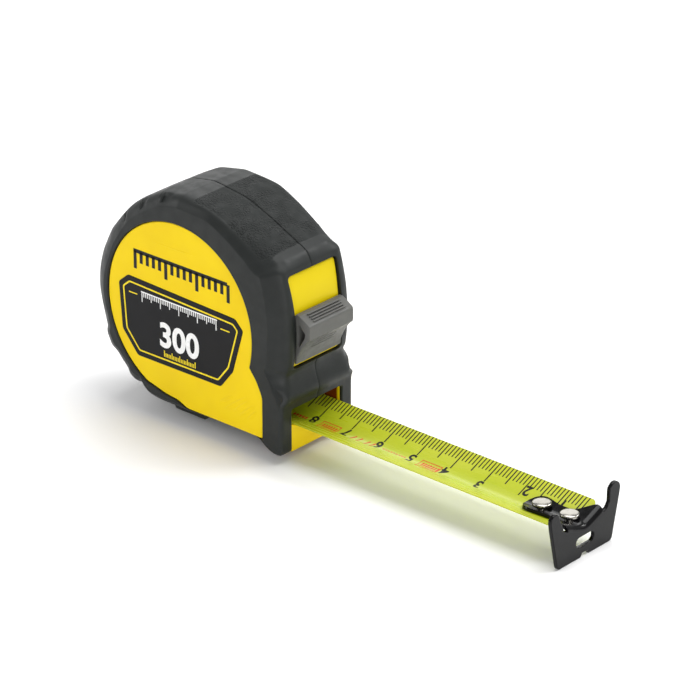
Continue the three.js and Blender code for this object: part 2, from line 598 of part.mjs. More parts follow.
// Rivet with a low domed head on the tongue and a flat one under the blade.
function rivet(x) {
  const under = cupZ(RIVET.head) + GAP + TONGUE.thickness + GAP / 2;
  const { head, shank, lower, lowerDepth } = RIVET;
  const belowTop = RIVET_BOTTOM + lowerDepth;
  const profile = [[0, RIVET_BOTTOM], [lower, RIVET_BOTTOM], [lower, belowTop], [shank, belowTop]];
  profile.push([shank, under], [head, under], [head, under + 0.45], [head * 0.72, under + 0.8]);
  profile.push([0, under + 0.95]);
  return turnedUp(profile, x);
}

// ---- fasteners and belt clip ----
function caseScrew(x, z) {
  const top = PANEL_Y - 0.1;
  const { head, headDepth, shank, length } = SCREW;
  const under = top - headDepth;
  const profile = [[0, top - length], [shank, top - length + 1], [shank, under], [head, under], [head, top]];
  const long = 0.6 * head;
  const wide = 0.17 * head;
  const low = top - headDepth / 2;
  const cross = box(x - long, x + long, low, top + 1, z - wide, z + wide)
    .add(box(x - wide, x + wide, low, top + 1, z - long, z + long));
  return turned([...profile, [0, top]], x, z, 16).subtract(cross);
}

// Fixed end of the clip: the plate under its screw and the bend at the top.
function clipBase() {
  const { halfWidth, sheet, baseLow, baseHigh, armY, screwZ } = CLIP;
  const inner = CLIP_Y;
  const outer = armY + sheet;
  const middle = (inner + outer) / 2;
  const shape = new THREE.Shape();
  shape.moveTo(inner, baseLow);
  shape.lineTo(inner + sheet, baseLow);
  shape.lineTo(inner + sheet, baseHigh);
  shape.absarc(middle, baseHigh, middle - inner - sheet, Math.PI, 0, true);
  shape.lineTo(outer, baseHigh);
  shape.absarc(middle, baseHigh, middle - inner, 0, Math.PI, false);
  const strip = alongX(shape, -halfWidth, halfWidth, 8);
  return strip.subtract(discY(CLIP_SCREW.hole, 0, screwZ, PANEL_Y, armY, 16));
}

// Springy arm of the clip, with the hole that its screw is driven through and a flared tip.
function clipArm() {
  const { halfWidth, sheet, baseHigh, armY, armLow, screwZ } = CLIP;
  const top = baseHigh - GAP;
  const kneeZ = armLow + 5;
  const kneeY = armY - 1.1;
  const tipY = armY + 0.6;
  const profile = [[armY, top], [armY, top - 9], [kneeY, kneeZ], [tipY, armLow]];
  const back = profile.map(([y, z]) => [y + sheet, z]).reverse();
  const strip = alongX(shapeOf([...profile, ...back]), -halfWidth, halfWidth);
  return strip.subtract(discY(CLIP_SCREW.access, 0, screwZ, armY - 1, armY + 2, 20));
}

function clipScrew() {
  const { shank, head, length } = CLIP_SCREW;
  const under = CLIP_Y + CLIP.sheet + GAP / 2;
  const profile = [[0, under - length], [shank, under - length], [shank, under], [head, under]];
  profile.push([head, under + 0.5], [0.7 * head, under + 1.0], [0, under + 1.1]);
  return turned(profile, 0, CLIP.screwZ, 20);
}

// ---- assembly ----
const assembly = new THREE.Group();

function place(name, solid, material) {
  const mesh = new THREE.Mesh(toGeometry(solid), material);
  mesh.name = name;
  assembly.add(mesh);
}

place('left_shell', leftShell(), YELLOW);
place('right_shell', rightShell(), YELLOW);
place('left_overmould', overmould(), RUBBER_BLACK);
place('right_overmould', mirrored(overmould()), RUBBER_BLACK);
place('base_foot', baseFoot(), RUBBER_BLACK);
place('window_panel', windowPanel(), YELLOW);
place('mouth_guide', mouthGuide(), YELLOW);
place('left_badge', badge(), LABEL_BLACK);
place('lock_lever', lockLever(), LEVER_GREY);
place('lock_plate', lockPlate(), NYLON);
place('brake_pad', brakePad(), PAD_RUBBER);
place('spring_post', springPost(), SPRING_STEEL);
place('spool_hub', spoolHub(), NYLON);
place('spool_cover', spoolCover(), NYLON);
place('power_spring', powerSpring(), SPRING_STEEL);
place('blade_coil', ringY(COIL.inner, COIL.outer, COIL.halfWidth, 40), BLADE_LIME);
place('blade_strip', bladeStrip(), BLADE_LIME);
place('hook', hook(), HOOK_BLACK);
RIVET_X.forEach((x, i) => place(`hook_rivet_${i + 1}`, rivet(x), NICKEL));
SCREW_AT.forEach(([x, z], i) => place(`case_screw_${i + 1}`, caseScrew(x, z), NICKEL));
place('clip_base', clipBase(), SPRING_STEEL);
place('clip_arm', clipArm(), SPRING_STEEL);
place('clip_screw', clipScrew(), NICKEL);

export default assembly;
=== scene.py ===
"""Looks of a pocket tape measure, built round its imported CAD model.

Shapes are worked out in millimetres in the CAD's frame and stored in metres: +X runs out of the mouth along
the blade, +Z is up, and the label side faces -Y.
"""

import json
import math
from contextlib import contextmanager

import bmesh
import bpy
import numpy as np
from mathutils import Matrix, Vector


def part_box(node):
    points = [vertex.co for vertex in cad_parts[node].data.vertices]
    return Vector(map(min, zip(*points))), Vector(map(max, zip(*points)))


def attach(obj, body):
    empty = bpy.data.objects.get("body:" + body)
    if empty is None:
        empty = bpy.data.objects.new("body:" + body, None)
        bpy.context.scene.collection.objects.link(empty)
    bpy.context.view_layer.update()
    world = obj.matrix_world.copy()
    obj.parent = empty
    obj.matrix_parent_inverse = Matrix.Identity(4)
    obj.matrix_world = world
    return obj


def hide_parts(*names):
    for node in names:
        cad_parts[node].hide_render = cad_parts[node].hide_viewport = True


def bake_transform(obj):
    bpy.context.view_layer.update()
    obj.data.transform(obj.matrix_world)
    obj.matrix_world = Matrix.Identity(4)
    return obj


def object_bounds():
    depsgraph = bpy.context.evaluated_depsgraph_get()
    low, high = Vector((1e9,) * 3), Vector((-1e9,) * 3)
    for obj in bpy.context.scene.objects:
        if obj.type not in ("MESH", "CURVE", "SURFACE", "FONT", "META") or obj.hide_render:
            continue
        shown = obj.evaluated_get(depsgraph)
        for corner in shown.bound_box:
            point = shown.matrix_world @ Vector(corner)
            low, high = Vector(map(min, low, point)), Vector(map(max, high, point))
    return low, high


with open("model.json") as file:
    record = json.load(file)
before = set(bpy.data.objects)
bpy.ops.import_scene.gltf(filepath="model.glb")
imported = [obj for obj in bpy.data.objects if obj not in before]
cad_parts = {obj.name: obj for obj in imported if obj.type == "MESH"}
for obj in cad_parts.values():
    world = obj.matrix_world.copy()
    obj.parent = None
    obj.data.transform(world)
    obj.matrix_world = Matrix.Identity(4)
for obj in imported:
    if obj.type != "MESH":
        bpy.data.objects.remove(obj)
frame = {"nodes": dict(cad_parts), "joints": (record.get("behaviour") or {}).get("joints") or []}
CAD_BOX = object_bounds()
MM = 0.001

# ---- driving dimensions, in millimetres ----


def node_box(node):
    """Lowest and highest corner of a CAD node."""
    low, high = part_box(node)
    return low / MM, high / MM


def joint_place(name):
    """The point that a hinge turns about."""
    joint = next(j for j in frame["joints"] if j["name"] == name)
    return Vector(joint["pos_m"]) / MM


SPOOL_Z = joint_place("spool_spin").z
TRACK = joint_place("lock_slide")
HALF_WIDTH = node_box("right_overmould")[1].y
PANEL_Y = node_box("right_shell")[1].y
SHELL_Y = PANEL_Y - 1.6
CAVITY_Y = SHELL_Y - 1.3
CASE_TOP = node_box("left_overmould")[1].z
FRONT_X = 32.3
ARCH_Z = 0.9
RUBBER_DEPTH = 1.9
SHELL_DEPTH = 3.7
SEAM_GAP = 0.04
TRACK_FRAME = 50.55
PANEL_OUT = 49.8
PANEL_BACK = 48.4
WINDOW = {"half": 8.5, "low": 21.4, "high": 44.4}
MOUTH = {"half": 8.7, "top": 11.2}
FOOT_LOW, FOOT_HIGH = node_box("base_foot")

BLADE_LOW, BLADE_HIGH = node_box("blade_strip")
BLADE_ZERO = node_box("hook")[1].x - 1.0
CUP = {"valley": BLADE_LOW.z + 0.4, "rise": 0.423, "round": 1.5}
HOOK_LOW, HOOK_HIGH = node_box("hook")
RIVETS = [node_box(f"hook_rivet_{i}") for i in (1, 2)]


# ---- mesh helpers ----


def add_object(name, data):
    """A new object in the scene."""
    piece = bpy.data.objects.new(name, data)
    bpy.context.scene.collection.objects.link(piece)
    return piece


def add_mesh(name, points, faces):
    """A mesh object from points in millimetres."""
    mesh = bpy.data.meshes.new(name)
    mesh.from_pydata([(x * MM, y * MM, z * MM) for x, y, z in points], [], faces)
    mesh.update()
    return add_object(name, mesh)


@contextmanager
def editing(piece):
    """The piece's mesh, opened for edits and written back after them."""
    mesh = bmesh.new()
    mesh.from_mesh(piece.data)
    yield mesh
    mesh.to_mesh(piece.data)
    mesh.free()


def loft(name, rings):
    """A closed solid through rings of points, all of one length."""
    count = len(rings[0])
    points = [tuple(p) for ring in rings for p in ring]
    faces = [tuple(reversed(range(count)))]
    for level in range(len(rings) - 1):
        for i in range(count):
            a, b = level * count + i, level * count + (i + 1) % count
            faces.append((a, b, b + count, a + count))
    last = (len(rings) - 1) * count
    faces.append(tuple(last + i for i in range(count)))
    piece = add_mesh(name, points, faces)
    face_outwards(piece)
    return piece


def face_outwards(piece):
    """Makes every face point out."""
    with editing(piece) as mesh:
        bmesh.ops.recalc_face_normals(mesh, faces=mesh.faces)


def settle(piece):
    """Turns the piece's modifiers, or a curve's shape, into its mesh."""
    graph = bpy.context.evaluated_depsgraph_get()
    mesh = bpy.data.meshes.new_from_object(piece.evaluated_get(graph))
    if piece.type == "MESH":
        piece.modifiers.clear()
        piece.data = mesh
        return piece
    name = piece.name
    bpy.data.objects.remove(piece)
    return add_object(name, mesh)


def modify(piece, kind, **settings):
    """Applies a modifier."""
    modifier = piece.modifiers.new(kind.lower(), kind)
    for key, value in settings.items():
        setattr(modifier, key, value)
    return settle(piece)


def combine(piece, tool, operation="DIFFERENCE"):
    """Cuts the tool out of the piece, or joins the two, and takes the tool away."""
    modify(piece, "BOOLEAN", solver="MANIFOLD", operation=operation, object=tool)
    bpy.data.objects.remove(tool)


def smooth(piece, angle=32):
    """Smooth shading, except across edges sharper than an angle."""
    piece.data.shade_smooth()
    piece.data.set_sharp_from_angle(angle=math.radians(angle))
    return modify(piece, "WEIGHTED_NORMAL", keep_sharp=True)


def copy_mirrored(piece, name):
    """The same piece on the other side of the seam plane."""
    other = add_object(name, piece.data.copy())
    other.data.transform(Matrix.Scale(-1, 4, (0, 1, 0)))
    other.data.flip_normals()
    return other


def join(name, pieces):
    """One object that holds the meshes of several."""
    mesh = bmesh.new()
    for piece in pieces:
        mesh.from_mesh(piece.data)
        bpy.data.objects.remove(piece)
    data = bpy.data.meshes.new(name)
    mesh.to_mesh(data)
    mesh.free()
    return add_object(name, data)


def sheet(name, rows, thickness):
    """A grid of points thickened on its underside."""
    count = len(rows[0])
    points = [point for row in rows for point in row]
    starts = [i * count + j for i in range(len(rows) - 1) for j in range(count - 1)]
    piece = add_mesh(name, points, [(a, a + count, a + count + 1, a + 1) for a in starts])
    return modify(piece, "SOLIDIFY", thickness=thickness * MM, offset=-1)


def plate(name, outlines, thickness, rounding=0.0):
    """A flat plate in the XY plane, centred on z = 0, with rounded edges.

    Of its outlines of (x, y), the first is the outside and the rest are holes."""
    curve = bpy.data.curves.new(name, "CURVE")
    curve.dimensions = "2D"
    curve.fill_mode = "BOTH"
    for outline in outlines:
        spline = curve.splines.new("POLY")
        spline.points.add(len(outline) - 1)
        for point, (x, y) in zip(spline.points, outline):
            point.co = (x * MM, y * MM, 0, 1)
        spline.use_cyclic_u = True
    curve.extrude = (thickness / 2 - rounding) * MM
    curve.bevel_depth = rounding * MM
    curve.bevel_resolution = 3
    curve.offset = -rounding * MM
    piece = settle(add_object(name, curve))
    weld(piece)
    return piece


def weld(piece, distance=0.0005):
    """Merges points that lie on each other."""
    with editing(piece) as mesh:
        bmesh.ops.remove_doubles(mesh, verts=mesh.verts, dist=distance * MM)
        bmesh.ops.recalc_face_normals(mesh, faces=mesh.faces)


def turn_to(piece, x_axis, y_axis, origin):
    """Puts a piece made in the XY plane on another plane: x_axis and y_axis are where its X and Y go."""
    x_axis, y_axis = Vector(x_axis), Vector(y_axis)
    matrix = Matrix((x_axis, y_axis, x_axis.cross(y_axis))).transposed().to_4x4()
    matrix.translation = Vector(origin) * MM
    piece.data.transform(matrix)
    return piece


def stand_up(piece, y=0.0):
    """Stands a piece made in the XY plane up in the XZ plane, facing -Y."""
    return turn_to(piece, (1, 0, 0), (0, 0, 1), (0, y, 0))


# ---- curves ----


def arc(x, z, radius, start, end, steps):
    """Points on an arc, with its angles in degrees."""
    angles = np.radians(np.linspace(start, end, steps + 1))
    return [(x + radius * math.cos(t), z + radius * math.sin(t)) for t in angles]


def polar(radius, degrees):
    """A point at a distance and direction from the spool axis."""
    return arc(0, SPOOL_Z, radius, degrees, degrees, 1)[0]


def track_x(radius, z):
    """X of the curved lock track at a height."""
    return TRACK.x + math.sqrt(radius**2 - (z - TRACK.z) ** 2)


def at_x(x, outline):
    """Points of an outline of (y, z) at one X."""
    return [(x, y, z) for y, z in outline]


def track_arc(radius, low, high, steps):
    return [(track_x(radius, z), z) for z in np.linspace(low, high, steps + 1)]


def spline(points, steps):
    """Catmull-Rom curve through points."""
    points = np.array(points, float)
    last = len(points) - 1
    curve = []
    for share in np.linspace(0, last, steps + 1):
        i = min(int(share), last - 1)
        t = share - i
        a, b, c, d = (points[min(max(i + k, 0), last)] for k in (-1, 0, 1, 2))
        slope_b, slope_c = (c - a) / 2, (d - b) / 2
        rise = (2 * b - 2 * c + slope_b + slope_c) * t**3
        curve.append(tuple(rise + (3 * (c - b) - 2 * slope_b - slope_c) * t**2 + slope_b * t + b))
    return curve


def round_off(rows):
    """Cuts the corners of a closed row of points, so that it runs smoothly."""
    rows = np.array(rows, float)
    for _ in range(2):
        after = np.roll(rows, -1, axis=0)
        rows = np.stack([0.75 * rows + 0.25 * after, 0.25 * rows + 0.75 * after], axis=1)
        rows = rows.reshape(-1, rows.shape[-1])
    return rows


def refine(rows, spacing):
    """Adds points to a closed row until its neighbours are no further apart than spacing."""
    fine = []
    for row, after in zip(rows, np.roll(rows, -1, axis=0)):
        steps = max(1, math.ceil(np.linalg.norm(after[:2] - row[:2]) / spacing(row)))
        fine.extend(row + (after - row) * k / steps for k in range(steps))
    return np.array(fine)


def rounded_box(half_x, low, high, radius):
    """Outline of a rectangle with round corners."""
    corners = [(half_x - radius, high - radius, 0), (radius - half_x, high - radius, 90)]
    corners += [(radius - half_x, low + radius, 180), (half_x - radius, low + radius, 270)]
    return [p for x, z, turn in corners for p in arc(x, z, radius, turn, turn + 90, 6)]


def ease(value, low, high):
    """0 below low, 1 above high, and a smooth rise between."""
    share = np.clip((value - low) / (high - low), 0, 1)
    return share * share * (3 - 2 * share)


# ---- the case outline ----

KINDS = ["rim", "front", "block", "base", "toe", "crown"]
LEVELS = [0, 7.5, 9.3, 10.4, 11.4, 12.2, 12.8]
BEVELS = {
    "rim": [0, 0.25, 0.9, 1.9, 3.0, 4.1, 5.6],
    "front": [0, 0, 0, 0.4, 1.7, 3.2, 4.8],
    "block": [0, 0, 0, 0, 0, 0.08, 0.8],
    "base": [0, 0.2, 1.0, 1.4, 1.8, 2.2, 2.6],
    "toe": [0, 0, 0.1, 0.6, 1.1, 1.8, 2.6],
    "crown": [0, 0, 0, 0.05, 0.45, 1.15, 2.6],
}
# how much of the crown's squarer bevel the rim has, by direction from the spool axis
CROWN_ANGLES = [38, 44, 57, 71, 90, 130, 140, 160]
CROWN_SHARES = [0, 0.35, 0.75, 1, 0.85, 0.65, 0.45, 0]


CROWN = [(24.5, 50.3), (17.5, 53.5), (10, 56.15), (0, CASE_TOP)]
DIP = [polar(30.2, 103), polar(29.2, 114), polar(28.9, 126), polar(28.7, 138)]
BACK = [polar(29.2, 149), polar(29.8, 165), polar(30.1, 182), polar(30.1, 203)]
LOWER_PAD = [polar(31.0, 205.5), polar(31.1, 209), polar(31.2, 213), polar(30.3, 216)]
HEEL_PAD = [polar(30.1, 221), polar(29.9, 227), polar(30.6, 229.5), polar(30.3, 233.5), polar(28.9, 236.5)]


def outer_stretches():
    """The outer outline of the case, by the kind of bevel that each stretch has."""
    block = [(FRONT_X, 0.9), (FRONT_X, 2), (FRONT_X, 5), (FRONT_X, 8.5), (32.35, 11.4), (32.45, 12.7)]
    crest = [(32.85, 13.6), (33.05, 14.4), (32.95, 15.3)]
    heel = [(-11.5, 1.5), (-8.2, ARCH_Z), (-3, ARCH_Z), (3, ARCH_Z)]
    arch = [(9, ARCH_Z), (14.5, ARCH_Z), (20, ARCH_Z), (23.5, ARCH_Z)]
    toe = [(25.2, ARCH_Z), (26.4, 0.3), (27.4, 0), (29.6, 0), (31.4, 0)]
    return [
        ("block", block + crest),
        ("front", [(32.55, 16.4), (32.15, 17.6), (31.85, 18.8), (31.7, 20.2)]),
        ("front", track_arc(TRACK_FRAME, 21.6, 46.0, 20)),
        ("rim", [(29.4, 47.8), (28.4, 48.4), (27.4, 48.9)]),
        ("rim", spline(CROWN, 26)),
        ("rim", spline(DIP, 16)),
        ("rim", spline(BACK, 26)),
        ("rim", LOWER_PAD + HEEL_PAD),
        ("toe", heel),
        ("base", arch),
        ("toe", toe),
    ]


def plain_stretches():
    """The outline without pads, ridge and feet, which shapes the shell inside."""
    return [
        ("block", [(FRONT_X, 0), (FRONT_X, 8), (FRONT_X, 13.5)]),
        ("front", [(31.8, 18.5)] + track_arc(TRACK_FRAME, 23, 41, 8)),
        ("rim", [(29.0, 47.9)] + spline(CROWN, 12)),
        ("rim", spline(DIP, 8)),
        ("rim", spline(BACK, 12)),
        ("rim", [polar(29.8, 215), polar(29.6, 227)]),
        ("toe", [(-12.5, 0), (-3, 0)]),
        ("base", [(9, 0), (24, 0)]),
    ]


def way_in(kind, x, z):
    """Unit direction from the outline into the case."""
    if kind == "block":
        return (-1, 0)
    if kind in ("base", "toe"):
        return (0, 1)
    centre = (TRACK.x, TRACK.z) if kind == "front" else (0, SPOOL_Z)
    across, up = centre[0] - x, centre[1] - z
    length = math.hypot(across, up)
    return (across / length, up / length)


def outline_rows(stretches):
    """Rows of x, z, the way in and the share of each kind of bevel."""
    rows = []
    for kind, points in stretches:
        for x, z in points:
            shares = {kind: 1.0}
            if kind == "rim":
                angle = math.degrees(math.atan2(z - SPOOL_Z, x)) % 360
                shares["crown"] = float(np.interp(angle, CROWN_ANGLES, CROWN_SHARES))
                shares["rim"] = 1 - shares["crown"]
            square = 0.0
            if kind == "toe" and x > 20:
                square = float(ease(x, 25.5, 29.5))
            if kind == "front" and z < 19.8:
                square = (19.8 - z) / 4.5
            if square > 0:
                shares = {kind: 1 - square, "block": square}
            rows.append([x, z, *way_in(kind, x, z), *(shares.get(other, 0.0) for other in KINDS)])
    return np.array(rows)


def bevel_depths(shares, half):
    """How far the outline is pulled in at a distance from the seam plane, eased over 0.9 mm."""
    nearby = np.clip(half + np.linspace(-0.45, 0.45, 7), 0, HALF_WIDTH)
    depths = [np.interp(nearby, LEVELS, BEVELS[kind]).mean() for kind in KINDS]
    if half > HALF_WIDTH - 0.3:
        depths = [np.interp(half, LEVELS, BEVELS[kind]) for kind in KINDS]
    return shares @ np.array(depths)


def ring_at(rows, half, depth, floor, extra=None):
    """The outline pulled in at a distance from the seam plane, as points at y = -half."""
    ways = rows[:, 2:4] / np.linalg.norm(rows[:, 2:4], axis=1, keepdims=True)
    pull = bevel_depths(rows[:, 4:], half) + depth
    if extra is not None:
        pull = pull + extra(rows, half)
    flat = rows[:, :2] + ways * pull[:, None]
    return [(x, -half, max(z, floor)) for x, z in flat]


NOTCHES = [(94.8, 101.6), (112.0, 118.2), (128.6, 134.0)]
NOTCH_DEPTH = 0.85
SEAM_ROUNDING = 0.22
PEBBLE_SINK = 0.13
PEBBLES = {"back": 4.0, "front": 27.0, "half": 11.0}


def relief(rows, half):
    """Small shapes sunk into the rubber: the seam's rounded edge, the grip notches and the pebbled field."""
    angle = np.degrees(np.arctan2(rows[:, 1] - SPOOL_Z, rows[:, 0])) % 360
    sink = SEAM_ROUNDING * (1 - ease(half, 0.02, 0.24)) * np.ones(len(rows))
    across = ease(half, 10.3, 10.7) * (1 - ease(half, 12.1, 12.35))
    for start, end in NOTCHES:
        slope = np.clip((angle - start) / (end - start), 0, 1)
        step = (1 - ease(angle, end - 0.5, end)) * ease(angle, start - 0.1, start + 0.1)
        sink = sink + NOTCH_DEPTH * across * step * slope
    x = rows[:, 0]
    on_top = (rows[:, 1] > 40) * ease(x, PEBBLES["back"] - 0.15, PEBBLES["back"] + 0.15)
    field = on_top * (1 - ease(x, PEBBLES["front"] - 0.15, PEBBLES["front"] + 0.15))
    return sink + PEBBLE_SINK * field * (1 - ease(half, PEBBLES["half"] - 0.3, PEBBLES["half"]))


def outline_spacing(row):
    """Fine steps round the notches and at the ends of the pebbled field, and wider ones elsewhere."""
    angle = math.degrees(math.atan2(row[1] - SPOOL_Z, row[0])) % 360
    near_notch = any(start - 2 < angle < end + 2 for start, end in NOTCHES)
    near_step = row[1] > 40 and min(abs(row[0] - PEBBLES[end]) for end in ("back", "front")) < 1.2
    return 0.14 if near_notch or near_step else 0.7


def half_envelope(name, rows, depth, side, floor=-10.0, seam=SEAM_GAP, extra=None, step=0.36):
    """Half of the case's envelope on the label side, sunk by depth, out to y = -side."""
    halves = [seam, 0.09, 0.14, 0.2, 0.27] if extra else [seam]
    halves += list(np.linspace(1.2, 7.2, 6)) + list(np.arange(7.6, side - 0.05, step)) + [side]
    rings = [ring_at(rows, half, depth, floor, extra) for half in halves]
    if seam < 0:
        rings[0] = [(x, -seam, z) for x, _, z in ring_at(rows, 0, depth, floor)]
    return loft(name, rings)


def panel_outline(margin):
    """Outline of the round side panel with its lobe towards the mouth, grown by a margin."""
    lobe_x, low = 26.3 + margin, 3.1 - margin
    points = [(lobe_x, low + k * (13.8 - low) / 8) for k in range(9)]
    points += [(25.3 + margin * 0.9, 16.2), (24.0 + margin * 0.9, 18.4)]
    points += arc(0, SPOOL_Z, 23.2 + margin, -16, 242, 180)
    points += [(-8.5, 5.7 - margin), (-5.6, 4.9 - margin), (-3.4, 4.6 - margin), (-1.2, 4.4 - margin)]
    points += [(0.6, 3.7 - margin)] + [(x, low) for x in (1.9, 4.0, 8, 13, 18, 23, 25.2)]
    return round_off(points)


def across_panel(name, levels):
    """A solid with the side panel's outline, grown by a margin at each of the given y."""
    return loft(name, [[(x, y, z) for x, z in panel_outline(margin)] for y, margin in levels])


# ---- rubber overmould ----


def window_half(z):
    """Half-width of the window's opening, which is slightly waisted beside the lever."""
    return float(np.interp(z, [21.4, 25, 30, 36, 40, 44.4], [8.3, 8.1, 7.95, 8.0, 8.2, 8.45]))


def waisted(outline):
    """An outline of (y, z) points made as wide as the window's opening."""
    return [(y / WINDOW["half"] * window_half(z), z) for y, z in outline]


def window_outline(grow):
    """Outline of the window's opening with straight sides cut into short steps."""
    half, low, high = WINDOW["half"] + grow, WINDOW["low"] - grow, WINDOW["high"] + grow
    side = np.linspace(high - 1.3, low + 1.3, 16)[1:-1]
    corners = rounded_box(half, low, high, 1.1)
    quarter = len(corners) // 4
    left = [(-half, z) for z in side]
    right = [(half, z) for z in side[::-1]]
    return corners[:2 * quarter] + left + corners[2 * quarter:] + right


def window_cutter(name):
    """What the front window takes out of the rubber, with a rounded edge on the outside."""
    levels = [(0.6, 0), (0.24, 0.0), (0.1, 0.06), (0.02, 0.14), (-0.05, 0.25), (-4, 1.0)]
    rings = []
    for depth, grow in sorted(levels, reverse=True):
        outline = waisted(window_outline(grow))
        rings.append([(track_x(TRACK_FRAME - depth, min(max(z, 19), 47)), y, z) for y, z in outline])
    return loft(name, [at_x(24.0, waisted(window_outline(0)))] + rings)


def mouth_cutter(name):
    """What the mouth takes out of the rubber, open at the bottom, with a rounded edge at the front."""
    half, top = MOUTH["half"], MOUTH["top"]
    edge = [(0.5, 0), (0.25, 0.06), (0.1, 0.16), (0, 0.34)]
    levels = [(20, 0)] + [(FRONT_X - back, grow) for back, grow in edge] + [(40, 0.34)]
    return loft(name, [at_x(x, rounded_box(half + grow, -5, top + grow, 0.7)) for x, grow in levels])


def block(name, low, high):
    """A plain box used as a cutter."""
    (x0, y0, z0), (x1, y1, z1) = low, high
    return loft(name, [at_x(x, [(y0, z0), (y1, z0), (y1, z1), (y0, z1)]) for x in (x0, x1)])


GROOVE = {"start": 21.6, "length": 10.7, "point": 20.6, "depth": 1.15}


def dent_depth(x, z):
    """Depth of the V-shaped groove on the side, between the pillar and the front block.

    It starts as a point beside the panel and opens towards the front."""
    share = (x - GROOVE["start"]) / GROOVE["length"]
    if share <= 0:
        return 0.0
    top, bottom = GROOVE["point"] - 3.8 * share, GROOVE["point"] - 7.2 * share
    place = (z - bottom) / (top - bottom)
    if not 0 < place < 1:
        return 0.0
    return GROOVE["depth"] * min(share, 1.1) * math.sin(math.pi * place) ** 1.3


def dent_side(piece):
    """Presses the V-shaped groove into the label side's rubber."""
    def beside_groove(vertex):
        return vertex.co.y < -9.2 * MM and vertex.co.x > 18 * MM and vertex.co.z < 30 * MM

    cuts = [((x, 0, 0), (1, 0, 0)) for x in np.arange(21.8, 32.9, 0.55)]
    cuts += [((0, 0, z), (0, 0, 1)) for z in np.arange(12.6, 20.6, 0.3)]
    with editing(piece) as mesh:
        for place, normal in cuts:
            near = [face for face in mesh.faces if all(beside_groove(v) for v in face.verts)]
            edges = {edge for face in near for edge in face.edges}
            verts = {vertex for face in near for vertex in face.verts}
            geometry = [*near, *edges, *verts]
            bmesh.ops.bisect_plane(mesh, geom=geometry, plane_co=Vector(place) * MM, plane_no=normal)
        for vertex in mesh.verts:
            x, y, z = vertex.co / MM
            vertex.co.y += dent_depth(x, z) * float(ease(-y, 9.2, 11.5)) * MM


def make_overmoulds():
    rows = refine(round_off(outline_rows(outer_stretches())), outline_spacing)
    plain = round_off(outline_rows(plain_stretches()))
    left = half_envelope("rubber_left", rows, 0, HALF_WIDTH, extra=relief)
    combine(left, half_envelope("core", plain, RUBBER_DEPTH, SHELL_Y + 0.3, 1.6, seam=-1.0, step=0.8))
    side = [(-SHELL_Y + 2, 0.1), (-12.45, 0.1), (-12.62, 0.16), (-12.74, 0.28), (-12.81, 0.46), (-14, 0.46)]
    combine(left, across_panel("panel_space", side))
    combine(left, window_cutter("window_space"))
    combine(left, mouth_cutter("mouth_space"))
    low, high = FOOT_LOW, FOOT_HIGH
    combine(left, block("foot_space", (low.x - 0.15, low.y - 0.15, -1), (high.x + 0.15, high.y + 0.15, 1.7)))
    dent_side(left)
    smooth(left)
    right = copy_mirrored(left, "rubber_right")
    return left, right


# ---- materials ----


